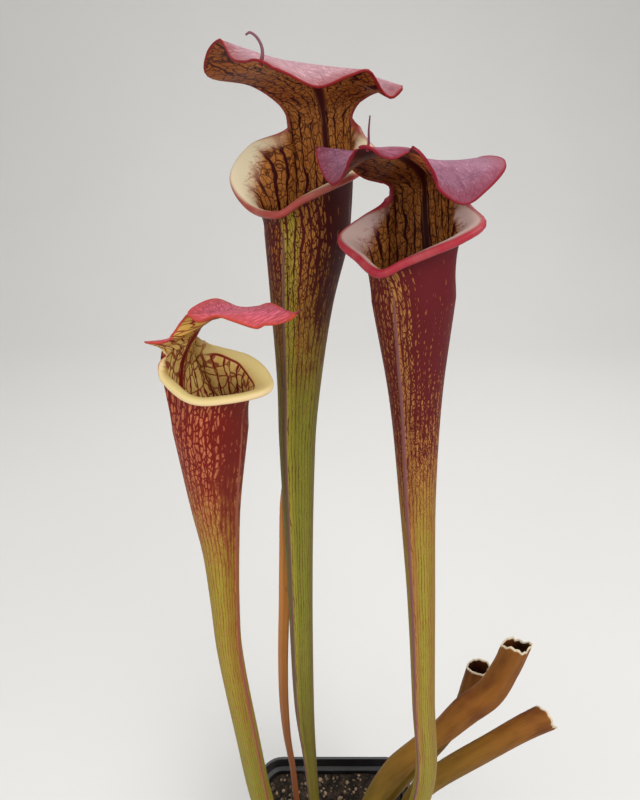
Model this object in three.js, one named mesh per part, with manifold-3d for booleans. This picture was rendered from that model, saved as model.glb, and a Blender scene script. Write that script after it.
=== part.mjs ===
// Potted trumpet pitcher plant: three open pitchers, a narrow leaf and three cut-back old
// pitchers, grown from one creeping rootstock in a square pot of soil.
// Millimetres, +Z up, origin in the middle of the pot's underside. The pitchers look towards -Y.

import * as THREE from "three";
import { mergeVertices } from "three/addons/utils/BufferGeometryUtils.js";
import Module from "manifold-3d";

const wasm = await Module();
wasm.setup();

// Clearance where one piece stands in or on another.
const FIT_GAP = 0.3;

// Pot: a thin-walled tapered square with a wider band round its top.
const POT_HEIGHT = 130;
const POT_TOP_WIDTH = 128;
const POT_BASE_WIDTH = 94;
const POT_WALL = 1.7;
const POT_FLOOR = 2;
const POT_BAND_HEIGHT = 11;
const POT_BAND_STEP = 3;
const POT_TOP_CORNER = 16;
const POT_BASE_CORNER = 11;
const POT_LIP = 0.7;
const DRAIN_COUNT = 8;
const DRAIN_RADIUS = 4.5;
const DRAIN_DISTANCE = 33;
const DRAIN_CORNER_DISTANCE = 41.25;
const POT_CORNER_STEPS = 4;

// Soil: fills the pot to just under the band, with an uneven top. Its surface is laid out in
// rings that are these shares of the pot's outline.
const SOIL_LEVEL = 117;
const SOIL_RELIEF = 1.1;
const SOIL_SIDE_POINTS = 4;
const SOIL_RING_SHARES = [0.985, 0.86, 0.72, 0.57, 0.42, 0.26, 0.12];

// Rootstock: creeping stems that meet in one knobbly clump, half sunk in the soil.
// Each stem lists x, y, z and radius along its length.
const ROOTSTOCK_STEMS = [
  [
    [-47, -7, 114, 6], [-36, -5, 116, 9.5], [-14, 3, 116, 11], [16, 4, 116, 11], [44, 2, 116, 10],
    [54, 1, 114, 6],
  ],
  [[12, 3, 115, 8], [26, 12, 115, 9], [32, 17, 113, 5]],
  [[18, 1, 115, 8], [33, -8, 116, 9.5], [41, -14, 114, 5]],
  [[-16, 4, 115, 8], [-29, 10, 115, 8.5], [-36, 15, 113, 5]],
];
const STEM_STEPS = 12;
const STEM_SIDES = 12;

// Knobs of the rootstock, as a share of its radius, and how they follow each other lengthwise
// (in radians over a stem) and round it.
const KNOB_HEIGHT = 0.07;
const KNOB_TURNS = { along: 19, round: 2 };

// Sockets that the leaves stand in: their floor, how far they reach up past a leaf's foot as a
// share of its first step, and their room round the leaf.
const SOCKET_FLOOR = 113.5;
const SOCKET_REACH = 2;
const SOCKET_ROOM = 0.9;

// Walls of the pitchers, and the lengthwise wing that each carries down its front. A tube is
// solid up to its first ring that is wider than the radius here, or up to the ring named here if
// that comes later. The wing rises and fades out between these shares of the tube.
const WALL = 1.0;
const HOLLOW_FROM = { ring: 3, radius: 5 };
const WING_HEIGHT = 2.4;
const WING_RISES = [0.05, 0.3];
const WING_FADES = [0.75, 1.1];

// How far the wall keeps the tube's direction, and the edge's, before it bends. Both are shares
// of its length. TIP_REACH is the same for the lid's middle line where it arrives at the tip.
const WALL_REACH = { up: 0.45, out: 0.3 };
const TIP_REACH = 0.4;

// The wall's edge rolls outwards, more at the mouth than at the lid. The mouth's margin is
// raised by ROLL_RISE of the roll's radius, and one roll turns into the other within these
// steps of the margin past the neck.
const MOUTH_ROLL = { radius: 1.8, turn: 170 };
const LID_ROLL = { radius: 2.6, turn: 25 };
const ROLL_RISE = 0.7;
const ROLL_CHANGES = [-2.5, 0.5];

// Angle from the front at which the margin leaves the mouth and climbs the neck to the lid. The
// margin counts as the lid's within NECK_BLEND degrees of it, and from NECK_CLIMB degrees on the
// wall arrives steeply, as the neck does.
const NECK_ANGLE = 131;
const NECK_BLEND = [-14, 8];
const NECK_CLIMB = 100;

// The lid's cross rows end at this share of the margin on either side. On the middle line they
// run ahead of the margin by up to LID_LEAD times a share that is 0 at the neck and at the tip.
const LID_END_SHARE = 0.95;
const LID_LEAD = 0.8;

// Steps of the faceted surfaces. Those of the tube get closer together towards its top, the
// more the higher the power.
const TUBE_STEPS = 10;
const TUBE_CROWDING = 1.3;
const HEAD_STEPS = 6;
const LID_STEPS = 14;
const LID_COLUMNS = 8;
const ROLL_STEPS = 3;
const MARGIN_SAMPLES = 60;
const MOUTH_ANGLES = [0, 8, 22, 37, 52, 67, 82, 97, 110, 121];

// Each pitcher: route lists x, y, z and tube radius from the foot to the top of the tube;
// facing gives the way the front looks at the foot, halfway and at the top, in degrees from -Y
// towards +X; neck gives the foot of the lid's middle line, as a depth behind the margin's
// points at the neck angle and a drop below them, then how much it leans forward as it leaves
// the foot, and for what share of its length; edge follows the margin of mouth and lid round
// the tube, as degrees from the front, then distance forward, sideways and up from the top of
// the tube, then the slope with which the wall reaches it.
const TALL = {
  name: "pitcher_tall",
  route: [
    [-13, 4, 114, 5.6], [-13.5, 4.4, 128, 5], [-16, 6, 170, 3.8], [-19, 7, 231, 4.2],
    [-22.3, 8, 297, 6], [-23.3, 12, 408, 6.8], [-23.2, 17, 498, 8.6], [-21.8, 20, 530, 10],
    [-20, 24, 568, 13.6], [-17.5, 26, 596, 17.6],
  ],
  facing: [-40, -32, -30],
  neck: { depth: 5, drop: 3, lean: 0.15, reach: 0.5 },
  edge: [
    [-174, 27, -7, 63.5, 0.2], [-168, 21, -16.5, 64.5, 0.5], [-162, 14, -27, 70, 0.9],
    [-157, 6, -40, 66, 0.6], [-151, -2, -47, 58.5, 0.2], [-144, -12, -34, 55.5, 0],
    [-137, -12, -20, 49.5, 0.1], [-131, -9.5, -13.5, 43, 0.2], [-124, -9, -14.5, 38, 0.2],
    [-106, -4, -30, 32.5, 0], [-82, 4, -35.5, 21.5, 0], [-48, 14, -21, 13, 0], [0, 23, 0, 13, 0],
    [34, 19, 9, 18.5, 0], [56, 15, 19, 23.5, 0], [76, 8, 27, 28, 0], [94, 1, 31, 33, 0],
    [110, -3, 25, 37, 0.1], [124, -8, 18, 40, 0.2], [131, -9.5, 14.5, 44.5, 0.2],
    [137, -11.5, 16.5, 50.5, 0.1], [143, -10, 24, 54, 0], [149, -1, 38, 56, -0.2],
    [153, 3, 36.5, 53, -0.5], [157, 7, 34.5, 54.5, 0], [161, 12, 31.5, 60.5, 0.4],
    [166, 18, 27.5, 59.5, 0], [171, 24, 19, 56.5, -0.5], [176, 29.5, 10, 60.5, -0.3],
    [180, 31.5, 2, 63.5, 0],
  ],
};

const FRONT = {
  name: "pitcher_front",
  route: [
    [34, -9, 114, 6.2], [36, -10.5, 128, 5.6], [47, -18, 180, 5.6], [53.5, -26, 272, 6],
    [44.7, -28, 357, 5.8], [36.6, -28, 436, 6.2], [30, -26, 496, 7.4], [25.4, -24, 545, 9.8],
    [21.5, -22, 586, 14.6],
  ],
  facing: [-60, -42, -32],
  neck: { depth: 5, drop: 3, lean: 0.2, reach: 0.25 },
  edge: [
    [-176, 29, -8, 51.5, -0.2], [-171, 27, -11.5, 49, -0.4], [-167, 20, -17, 44.5, -0.8],
    [-163, 14, -22.5, 40.5, -1], [-159, 6, -31, 37.5, -1.2], [-155, 2, -37.5, 41.5, -0.9],
    [-151, -3, -41.5, 47, -0.3], [-146, -9, -34, 41.5, -0.4], [-141, -10, -26.5, 37.5, -0.2],
    [-136, -10.5, -19, 36.5, 0], [-131, -10, -15.5, 34.5, 0.1], [-124, -9, -16, 29.5, 0.1],
    [-106, -3, -23.5, 24.5, 0], [-82, 6, -28, 19, 0], [-45, 14, -16.5, 15.5, 0], [0, 20, -5, 13.5, 0],
    [34, 18, 2.5, 17.5, 0], [60, 15, 10.5, 21.5, 0], [78, 10, 18.5, 25.5, 0], [94, 4, 23, 29.5, 0],
    [110, -3, 16, 32, 0.1], [124, -8, 9.5, 34, 0.1], [131, -10, 5.5, 37, 0.1], [136, -10, 7, 42, 0],
    [141, -12, 13, 46, 0], [147, -8, 21, 47, -0.1], [152, 0, 25, 45.5, -0.5], [157, 6, 22, 40, -0.9],
    [162, 9, 17.5, 36.5, -1.1], [167, 14, 11, 41, -0.5], [171, 18, 9, 46.5, 0.3],
    [174, 21, 4.5, 51.5, 0.5], [177, 26, 0.5, 50, -0.2], [180, 31, -4.5, 52.5, 0.2],
  ],
};

const SHORT = {
  name: "pitcher_short",
  route: [
    [-34, -6, 114, 6.4], [-36, -6.6, 128, 5.8], [-45, -9, 160, 6.4], [-52.9, -10, 221, 7],
    [-57, -14, 300, 6.6], [-61, -16, 383, 6.4], [-60.4, -16, 423, 7], [-59.7, -15, 456, 8.4],
    [-59.8, -14, 486, 11.2], [-58.5, -12.5, 525, 15.6],
  ],
  facing: [40, 52, 60],
  neck: { depth: -2.5, drop: 3, lean: 0.6, reach: 0.45 },
  edge: [
    [-178, 42.5, -5.5, 59, 0], [-174, 38.5, -9.5, 58.5, -0.2], [-170, 35, -10, 57, -0.5],
    [-165, 28, -13, 59, -0.2], [-161, 22, -14, 59.5, 0.1], [-156, 14, -14, 56, -0.4],
    [-151, 7, -12, 56, 0.1], [-147, 0, -9, 50.5, 0], [-145, -5, -10.5, 44, -0.3],
    [-141, -11.5, -14, 42, 0], [-137, -16.5, -12.5, 40.5, 0.2], [-131, -13, -8, 37, 0.3],
    [-124, -13, -9, 31.5, 0.3], [-110, -9, -14.5, 27, 0], [-84, 7, -18, 24, 0],
    [-45, 20, -12, 24.5, 0], [0, 30, 1.5, 25.5, 0.1], [40, 22, 13, 25.5, 0.1], [75, 9, 19, 27, 0.1],
    [105, -4, 15.5, 29.5, 0.1], [124, -9, 9, 32.5, 0.2], [131, -10, 8, 36, 0.2],
    [137, -14, 9.5, 44, 0.2], [144, -12, 12.5, 47.5, 0.1], [152, -2, 13.5, 52, 0.2],
    [160, 10, 12.5, 51.5, -0.1], [168, 20, 11, 54, 0], [172, 27, 9, 57, 0.2], [177, 36, 4, 58.5, 0],
    [180, 45, -3, 60.5, 0.1],
  ],
};

// Old pitchers cut off above the tube: route as above, ragged is the height of the torn end.
const OLD_UPPER = {
  name: "old_pitcher_upper",
  route: [
    [16, 3, 114, 5.4], [17, 3, 130, 5], [25, 4, 175, 6], [43, 6, 224, 7.6], [58, 9, 243, 7.2],
    [72, 12, 257, 7.4], [88, 16, 277, 9], [103, 20, 290, 9.2], [112, 24, 311, 8.8],
    [117, 27, 331, 8.6],
  ],
  ragged: 6,
};
const OLD_BACK = {
  name: "old_pitcher_back",
  route: [
    [26, 12, 114, 4.4], [28, 13, 130, 4], [48, 20, 168, 4.4], [78, 31, 208, 5.2], [95, 40, 240, 6.6],
    [101, 45, 262, 7.6], [104, 48, 279, 8],
  ],
  ragged: 2,
};
const OLD_LOWER = {
  name: "old_pitcher_lower",
  route: [
    [46, 3, 114, 5], [47, 3, 130, 4.8], [52, 2, 168, 5.6], [61, 2, 202, 6.6], [74, 4, 218, 7.2],
    [106, 10, 242, 7.6], [132, 16, 257, 8.2], [147, 19, 264, 8.6],
  ],
  ragged: 4,
};
const OLD_SIDES = 11;
const OLD_STEPS = 12;

// How far an old pitcher is squashed and folded, as shares of its radius; the squash begins and
// is full at the shares of its length in OLD_SQUASHED. Where the tube stands straighter than
// UPRIGHT (1 is plumb), its rings are counted from the front and otherwise from their top.
const OLD_SQUASH = 0.16;
const OLD_SQUASHED = [0.1, 0.4];
const OLD_FOLD = 0.05;
const UPRIGHT = 0.98;

// Narrow leaf: route lists x, y, z and half width; it is a thin blade with a rib down its face.
const BLADE = {
  name: "narrow_leaf",
  route: [
    [-28, 10, 114, 3.4], [-28.5, 10, 130, 3.2], [-31.7, 11, 212, 2.9], [-35, 13, 251, 3.4],
    [-36.2, 15, 287, 3.8], [-35.6, 17, 330, 3.8], [-33.5, 19, 380, 3.8], [-32, 21, 426, 3.4],
    [-31.7, 22, 453, 2.2], [-30.2, 22, 474, 0.9],
  ],
  facing: [-38, -32, -28],
  thickness: 1.6,
  rib: 0.9,
};

// The blade's section: where its front and back turn down to its edges, as shares of its half
// width, and how thick those edges are, as a share of its thickness. The rib stands on the
// middle of its front.
const BLADE_FRONT_SHOULDER = 0.45;
const BLADE_BACK_SHOULDER = 0.4;
const BLADE_EDGE = 0.35;
const BLADE_STEPS = 20;

function material(color, roughness) {
  return new THREE.MeshStandardMaterial({ color, roughness, metalness: 0 });
}

const degrees = (angle) => THREE.MathUtils.degToRad(angle);
const mix = (a, b, share) => a + (b - a) * share;
const easeBetween = (from, to, x) => THREE.MathUtils.smoothstep(x, from, to);

// Smooth curve through rows of numbers at rising stops.
function curveThrough(stops, rows, x) {
  const last = stops.length - 1;
  let i = 0;
  while (i < last - 1 && x >= stops[i + 1]) i += 1;
  const slope = (k, n) => {
    const before = Math.max(k - 1, 0);
    const after = Math.min(k + 1, last);
    return (rows[after][n] - rows[before][n]) / (stops[after] - stops[before]);
  };
  const length = stops[i + 1] - stops[i];
  const t = THREE.MathUtils.clamp((x - stops[i]) / length, 0, 1);
  return rows[i].map((start, n) => {
    const end = rows[i + 1][n];
    const leaving = t * (1 - t) * (1 - t) * length * slope(i, n);
    const arriving = t * t * (t - 1) * length * slope(i + 1, n);
    return start + (end - start) * t * t * (3 - 2 * t) + leaving + arriving;
  });
}

// The same on a loop of 360 degrees, by repeating two stops past each end.
function loopThrough(stops, rows, x) {
  const n = stops.length;
  const before = [n - 2, n - 1];
  const after = [0, 1];
  const longStops = [
    ...before.map((k) => stops[k] - 360), ...stops, ...after.map((k) => stops[k] + 360),
  ];
  const longRows = [...before.map((k) => rows[k]), ...rows, ...after.map((k) => rows[k])];
  return curveThrough(longStops, longRows, x);
}

// Closed body through rings of equally many points, counted anticlockwise seen from the end
// that the rings run to. Each four-sided face is split along one diagonal, or along the other
// where splitOtherWay says so, which lets both sides of a waved wall be folded alike.
function lofted(rings, splitOtherWay = () => false) {
  const sides = rings[0].length;
  const points = rings.flat();
  const faces = [];
  for (let i = 0; i < rings.length - 1; i += 1) {
    for (let j = 0; j < sides; j += 1) {
      const next = (j + 1) % sides;
      const a = i * sides + j;
      const b = i * sides + next;
      const c = (i + 1) * sides + next;
      const d = (i + 1) * sides + j;
      if (splitOtherWay(i, j)) faces.push([a, b, d], [b, c, d]);
      else faces.push([a, b, c], [a, c, d]);
    }
  }
  const middle = (ring) => {
    return ring.reduce((sum, p) => sum.add(p), new THREE.Vector3()).divideScalar(ring.length);
  };
  const start = points.push(middle(rings[0])) - 1;
  const end = points.push(middle(rings.at(-1))) - 1;
  const lastRing = (rings.length - 1) * sides;
  for (let j = 0; j < sides; j += 1) {
    const next = (j + 1) % sides;
    faces.push([start, next, j], [end, lastRing + j, lastRing + next]);
  }
  const geometry = new THREE.BufferGeometry().setFromPoints(points);
  geometry.setIndex(faces.flat());
  return geometry;
}

function toSolid(geometry) {
  return new wasm.Manifold(new wasm.Mesh({
    numProp: 3,
    vertProperties: new Float32Array(geometry.getAttribute("position").array),
    triVerts: new Uint32Array(geometry.getIndex().array),
  }));
}

function toGeometry(solid) {
  const mesh = solid.getMesh();
  const geometry = new THREE.BufferGeometry();
  geometry.setAttribute("position", new THREE.BufferAttribute(mesh.vertProperties, 3));
  geometry.setIndex(new THREE.BufferAttribute(mesh.triVerts, 1));
  return geometry;
}

// The front direction, leant over so that it stands square to the tangent.
function squareTo(tangent, front) {
  return front.clone().addScaledVector(tangent, -front.dot(tangent)).normalize();
}

// Ring of points round a centre, in the plane across the tangent; angle 0 is the front.
function ringAcross(centre, tangent, front, angles, radiusAt) {
  const ahead = squareTo(tangent, front);
  const aside = tangent.clone().cross(ahead);
  return angles.map((angle) => {
    const radius = radiusAt(angle);
    return centre.clone()
      .addScaledVector(ahead, radius * Math.cos(degrees(angle)))
      .addScaledVector(aside, radius * Math.sin(degrees(angle)));
  });
}

// Place along a route of x, y, z, radius rows at a share of its length from 0 to 1.
function alongRoute(route) {
  const stops = [0];
  for (let i = 1; i < route.length; i += 1) {
    stops.push(stops[i - 1] + Math.hypot(...[0, 1, 2].map((n) => route[i][n] - route[i - 1][n])));
  }
  const length = stops.at(-1);
  const placeAt = (share) => new THREE.Vector3(...curveThrough(stops, route, share * length));
  return (share) => ({
    centre: placeAt(share),
    radius: curveThrough(stops, route, share * length)[3],
    tangent: placeAt(Math.min(share + 0.001, 1)).sub(placeAt(Math.max(share - 0.001, 0))).normalize(),
  });
}

const frontAt = (facing) => new THREE.Vector3(Math.sin(degrees(facing)), -Math.cos(degrees(facing)), 0);
const sideAt = (facing) => new THREE.Vector3(Math.cos(degrees(facing)), Math.sin(degrees(facing)), 0);
const evenAngles = (sides) => Array.from({ length: sides }, (_, k) => (k * 360) / sides);
const steps = (count) => Array.from({ length: count + 1 }, (_, k) => k / count);

// Rings of points pushed along the surface's own outward direction.
function pushedOut(rows, distance) {
  const sides = rows[0].length;
  return rows.map((row, i) => row.map((point, j) => {
    const round = row[(j + 1) % sides].clone().sub(row[(j + sides - 1) % sides]);
    const above = rows[Math.min(i + 1, rows.length - 1)][j];
    const below = rows[Math.max(i - 1, 0)][j];
    const outward = round.cross(above.clone().sub(below)).normalize();
    return point.clone().addScaledVector(outward, distance);
  }));
}

// Where the margin lies at an angle, in distances forward, sideways and up from the top of the
// tube, and the direction in which the wall reaches it.
function marginAt(pitcher, angle) {
  const stops = pitcher.edge.map((stop) => stop[0]);
  const places = pitcher.edge.map((stop) => stop.slice(1));
  const [forward, aside, up, slope] = loopThrough(stops, places, angle);
  const pastNeck = Math.abs(angle) - NECK_ANGLE;
  const lid = easeBetween(...NECK_BLEND, pastNeck);
  const level = new THREE.Vector2(forward, aside).normalize();
  const out = new THREE.Vector3(level.x, level.y, slope).normalize();
  const drawnIn = (1 - lid) * MOUTH_ROLL.radius;
  const point = new THREE.Vector3(forward, aside, up).addScaledVector(out, -drawnIn);
  point.z += ROLL_RISE * drawnIn;
  return { point, out };
}

// The margin from the neck to the lid's tip on one side (1 or -1), by share of its length.
function lidSide(pitcher, side) {
  const angles = steps(MARGIN_SAMPLES).map((share) => side * mix(NECK_ANGLE, 180, share));
  const places = angles.map((angle) => marginAt(pitcher, angle).point);
  const lengths = [0];
  for (let i = 1; i < places.length; i += 1) {
    lengths.push(lengths[i - 1] + places[i].distanceTo(places[i - 1]));
  }
  return (share) => {
    const length = share * lengths.at(-1);
    const i = Math.max(1, lengths.findIndex((reached) => reached >= length));
    const between = (length - lengths[i - 1]) / (lengths[i] - lengths[i - 1]);
    return places[i - 1].clone().lerp(places[i], between);
  };
}

const leaning = (pitcher) => new THREE.Vector3(pitcher.neck.lean, 0, 1).normalize();

// Neck and lid as cross rows from the right margin over the middle line to the left margin.
// Row 0 runs behind the mouth between the two points where the margin passes the neck angle.
function lidRows(pitcher) {
  const right = lidSide(pitcher, 1);
  const left = lidSide(pitcher, -1);
  const foot = right(0).add(left(0)).multiplyScalar(0.5);
  foot.x -= pitcher.neck.depth;
  foot.z -= pitcher.neck.drop;
  const tip = marginAt(pitcher, 180);
  const length = foot.distanceTo(tip.point);
  const spine = new THREE.CubicBezierCurve3(
    foot,
    foot.clone().addScaledVector(leaning(pitcher), pitcher.neck.reach * length),
    tip.point.clone().addScaledVector(tip.out, -TIP_REACH * length),
    tip.point,
  );
  return steps(LID_STEPS).map((share) => {
    const ends = [right, left].map((side) => side(share * LID_END_SHARE));
    const middle = spine.getPointAt(share + LID_LEAD * share * (1 - share) ** 2);
    const across = ends[0].clone().sub(ends[1]).multiplyScalar(0.5);
    const bend = ends[0].clone().add(ends[1]).multiplyScalar(0.5).sub(middle);
    return steps(LID_COLUMNS).map((step) => {
      const w = 1 - 2 * step;
      return middle.clone().addScaledVector(across, w).addScaledVector(bend, w * w);
    });
  });
}

// The tube's rings, each with the place on the route that it lies round.
function tubeRings(pitcher, angles) {
  const at = alongRoute(pitcher.route);
  return steps(TUBE_STEPS).map((share) => {
    const place = at(1 - (1 - share) ** TUBE_CROWDING);
    const facing = curveThrough([0, 0.5, 1], pitcher.facing.map((angle) => [angle]), share)[0];
    const ring = ringAcross(place.centre, place.tangent, frontAt(facing), angles, () => place.radius);
    return { ...place, ring };
  });
}

// Curves on which the wall goes on from the top of the tube to its margin, in distances from
// the top of the tube. Behind the mouth they end on the lid's first cross row.
function headColumns(pitcher, angles, starts, rise, neckRow) {
  const firstBehind = angles.length - neckRow.length + 1;
  return angles.map((angle, j) => {
    const onNeck = j === 0 ? neckRow.length - 1 : j - firstBehind;
    const end = onNeck < 0 ? marginAt(pitcher, angle).point : neckRow[onNeck];
    const climbing = easeBetween(NECK_CLIMB, NECK_ANGLE, Math.abs(angle));
    const arriving = marginAt(pitcher, angle).out.lerp(leaning(pitcher), climbing).normalize();
    const length = starts[j].distanceTo(end);
    return new THREE.CubicBezierCurve3(
      starts[j],
      starts[j].clone().addScaledVector(rise, length * WALL_REACH.up),
      end.clone().addScaledVector(arriving, -length * WALL_REACH.out),
      end,
    );
  });
}

// Rows of points that continue the wall past its margin and roll outwards. The margin is a
// closed loop, and cornerAt is the place in it where it meets the neck on the right.
function rolledRows(points, margin, cornerAt, outward) {
  const lidShare = margin.map((_, k) => {
    const onMouth = k <= cornerAt;
    const fromCorner = k - cornerAt;
    const stepsPast = onMouth ? Math.max(-k, fromCorner) : Math.min(fromCorner, margin.length - k);
    return easeBetween(...ROLL_CHANGES, stepsPast);
  });
  return steps(ROLL_STEPS).slice(1).map((share) => margin.map((index, k) => {
    const before = points[margin[(k + margin.length - 1) % margin.length]];
    const after = points[margin[(k + 1) % margin.length]];
    const over = outward[index];
    const ahead = over.clone().cross(after.clone().sub(before)).normalize();
    const radius = mix(MOUTH_ROLL.radius, LID_ROLL.radius, lidShare[k]);
    const turned = degrees(mix(MOUTH_ROLL.turn, LID_ROLL.turn, lidShare[k])) * share;
    return points[index].clone()
      .addScaledVector(over, radius * (1 - Math.cos(turned)))
      .addScaledVector(ahead, radius * Math.sin(turned));
  }));
}

// A pitcher's wall without thickness: its points, and four-sided faces that run anticlockwise
// seen from outside. Closed rings of columns reach up to the mouth's margin; behind it the
// lid's rows go on, and a rolled edge follows the whole margin.
function pitcherSheet(pitcher) {
  const mouth = [...MOUTH_ANGLES.slice(1).map((angle) => -angle).reverse(), ...MOUTH_ANGLES];
  const back = steps(LID_COLUMNS).map((step) => mix(NECK_ANGLE, 360 - NECK_ANGLE, step));
  const angles = [-NECK_ANGLE, ...mouth, ...back.slice(0, -1)];
  const tube = tubeRings(pitcher, angles);
  const top = tube.at(-1);
  const axes = [frontAt(pitcher.facing[2]), sideAt(pitcher.facing[2]), new THREE.Vector3(0, 0, 1)];
  const inHead = (vector) => new THREE.Vector3(...axes.map((axis) => vector.dot(axis)));
  const headFrame = new THREE.Matrix4().makeBasis(...axes).setPosition(top.centre);
  const outOfHead = (vector) => vector.clone().applyMatrix4(headFrame);

  const lid = lidRows(pitcher);
  const starts = top.ring.map((point) => inHead(point.clone().sub(top.centre)));
  const columns = headColumns(pitcher, angles, starts, inHead(top.tangent), lid[0]);
  const head = steps(HEAD_STEPS).slice(1).map((share) => {
    return columns.map((column) => outOfHead(column.getPoint(share)));
  });

  const rings = [...tube.map((step) => step.ring), ...head];
  const points = rings.flat();
  const faces = [];
  const join = (lower, upper, closed) => {
    for (let j = 0; j < lower.length - (closed ? 0 : 1); j += 1) {
      const next = (j + 1) % lower.length;
      faces.push([lower[j], lower[next], upper[next], upper[j]]);
    }
  };
  const ringAt = (i) => angles.map((_, j) => i * angles.length + j);
  for (let i = 0; i < rings.length - 1; i += 1) join(ringAt(i), ringAt(i + 1), true);

  const cornerAt = mouth.length + 1;
  const rim = ringAt(rings.length - 1);
  const cross = [[...rim.slice(cornerAt), rim[0]]];
  for (const row of lid.slice(1)) {
    cross.push(row.map((point) => points.push(outOfHead(point)) - 1));
    join(cross.at(-2), cross.at(-1), false);
  }

  const upRight = cross.slice(1).map((row) => row[0]);
  const downLeft = cross.slice(1, -1).map((row) => row.at(-1)).reverse();
  let edge = [...rim.slice(0, cornerAt + 1), ...upRight, ...cross.at(-1).slice(1), ...downLeft];
  for (const row of rolledRows(points, edge, cornerAt, outwardDirections(points, faces))) {
    const added = row.map((point) => points.push(point) - 1);
    join(edge, added, true);
    edge = added;
  }
  return { points, faces, angles, tube };
}

// For each point, the direction away from the wall on its outer side.
function outwardDirections(points, faces) {
  const outward = points.map(() => new THREE.Vector3());
  for (const [a, b, c, d] of faces) {
    const normal = points[c].clone().sub(points[a]).cross(points[d].clone().sub(points[b]));
    for (const index of [a, b, c, d]) outward[index].add(normal);
  }
  return outward.map((direction) => direction.normalize());
}

// The sheet made into a wall, hollow from the ring where the tube is wide enough, with the
// lengthwise wing raised on its front.
function pitcherGeometry(pitcher) {
  const { points, faces, angles, tube } = pitcherSheet(pitcher);
  const outward = outwardDirections(points, faces);
  const sides = angles.length;
  const front = angles.indexOf(0);
  const wingAt = (index) => {
    const ring = Math.floor(index / sides);
    if (index % sides !== front || ring > TUBE_STEPS) return 0;
    const share = ring / TUBE_STEPS;
    return WING_HEIGHT * easeBetween(...WING_RISES, share) * (1 - easeBetween(...WING_FADES, share));
  };
  const { ring: soonest, radius: wideEnough } = HOLLOW_FROM;
  const hollowRing = tube.findIndex((step, i) => i >= soonest && step.radius > wideEnough);
  const solidUpTo = sides * hollowRing;
  const pushed = (k, distance) => points[k].clone().addScaledVector(outward[k], distance);
  const outer = points.map((_, k) => pushed(k, WALL / 2 + wingAt(k)));
  const inner = points.map((_, k) => pushed(k, -WALL / 2)).slice(solidUpTo);
  const all = [...outer, ...inner];
  const insideOf = (index) => outer.length + index - solidUpTo;
  const triangles = [];
  const edges = new Set(faces.flatMap((face) => face.map((from, n) => `${from} ${face[(n + 1) % 4]}`)));
  for (const face of faces) {
    const [a, b, c, d] = face;
    triangles.push([a, b, c], [a, c, d]);
    if (a < solidUpTo) continue;
    const [e, f, g, h] = face.map(insideOf);
    triangles.push([e, g, f], [e, h, g]);
    face.forEach((from, n) => {
      const to = face[(n + 1) % 4];
      if (from >= solidUpTo + sides && !edges.has(`${to} ${from}`)) {
        triangles.push([to, from, insideOf(from)], [to, insideOf(from), insideOf(to)]);
      }
    });
  }
  const foot = all.push(tube[0].centre) - 1;
  const hollowFloor = all.push(tube[hollowRing].centre) - 1;
  for (let j = 0; j < sides; j += 1) {
    const next = (j + 1) % sides;
    triangles.push([foot, next, j], [hollowFloor, insideOf(solidUpTo + j), insideOf(solidUpTo + next)]);
  }
  const geometry = new THREE.BufferGeometry().setFromPoints(all);
  geometry.setIndex(triangles.flat());
  return geometry;
}

// An old tube, cut off with a torn end. Its rings are slightly squashed and folded.
function oldPitcherGeometry(old) {
  const angles = evenAngles(OLD_SIDES);
  const at = alongRoute(old.route);
  const up = new THREE.Vector3(0, 0, 1);
  const front = frontAt(0);
  const rows = steps(OLD_STEPS).map((share, i) => {
    const { centre, tangent, radius } = at(share);
    const squash = OLD_SQUASH * easeBetween(...OLD_SQUASHED, share);
    const radiusAt = (angle) => {
      const turn = degrees(angle);
      return radius * (1 + squash * Math.cos(2 * turn) - OLD_FOLD * Math.cos(3 * turn));
    };
    const ring = ringAcross(centre, tangent, tangent.dot(up) > UPRIGHT ? front : up, angles, radiusAt);
    if (i < OLD_STEPS) return ring;
    // The torn end: one slant across it and three smaller points round it.
    return ring.map((point, j) => {
      const torn = 0.5 * Math.sin(degrees(angles[j])) + 0.3 * Math.sin(degrees(3 * angles[j] + 40));
      return point.addScaledVector(tangent, old.ragged * torn);
    });
  });
  const outer = pushedOut(rows, WALL / 2);
  const inner = pushedOut(rows, -WALL / 2);
  const hollowFrom = Math.round(OLD_STEPS / 2);
  return lofted([...outer, ...inner.slice(hollowFrom).reverse()], (i) => i >= outer.length);
}

// A leaf's foot drawn on along its first step, a little larger all round, to cut its socket.
function socketCutter(route) {
  const [foot, next] = route.map(([x, y, z]) => new THREE.Vector3(x, y, z));
  const step = next.sub(foot);
  const below = (SOCKET_FLOOR - foot.z) / step.z;
  const room = route[0][3] + WALL + SOCKET_ROOM;
  const ring = (share) => {
    const centre = foot.clone().addScaledVector(step, share);
    const tangent = step.clone().normalize();
    return ringAcross(centre, tangent, frontAt(0), evenAngles(STEM_SIDES), () => room);
  };
  return toSolid(lofted([ring(below), ring(SOCKET_REACH)]));
}

function bladeGeometry(blade) {
  const at = alongRoute(blade.route);
  const rings = steps(BLADE_STEPS).map((share) => {
    const { centre, tangent, radius } = at(share);
    const facing = curveThrough([0, 0.5, 1], blade.facing.map((angle) => [angle]), share)[0];
    const thin = blade.thickness / 2;
    const edge = BLADE_EDGE * thin;
    const section = [
      [0, thin + blade.rib], [BLADE_FRONT_SHOULDER, thin], [1, edge], [1, -edge],
      [BLADE_BACK_SHOULDER, -thin], [-BLADE_BACK_SHOULDER, -thin], [-1, -edge], [-1, edge],
      [-BLADE_FRONT_SHOULDER, thin],
    ];
    const ahead = squareTo(tangent, frontAt(facing));
    const aside = tangent.clone().cross(ahead);
    return section.map(([across, out]) => {
      return centre.clone().addScaledVector(aside, across * radius).addScaledVector(ahead, out);
    });
  });
  return lofted(rings);
}

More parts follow.
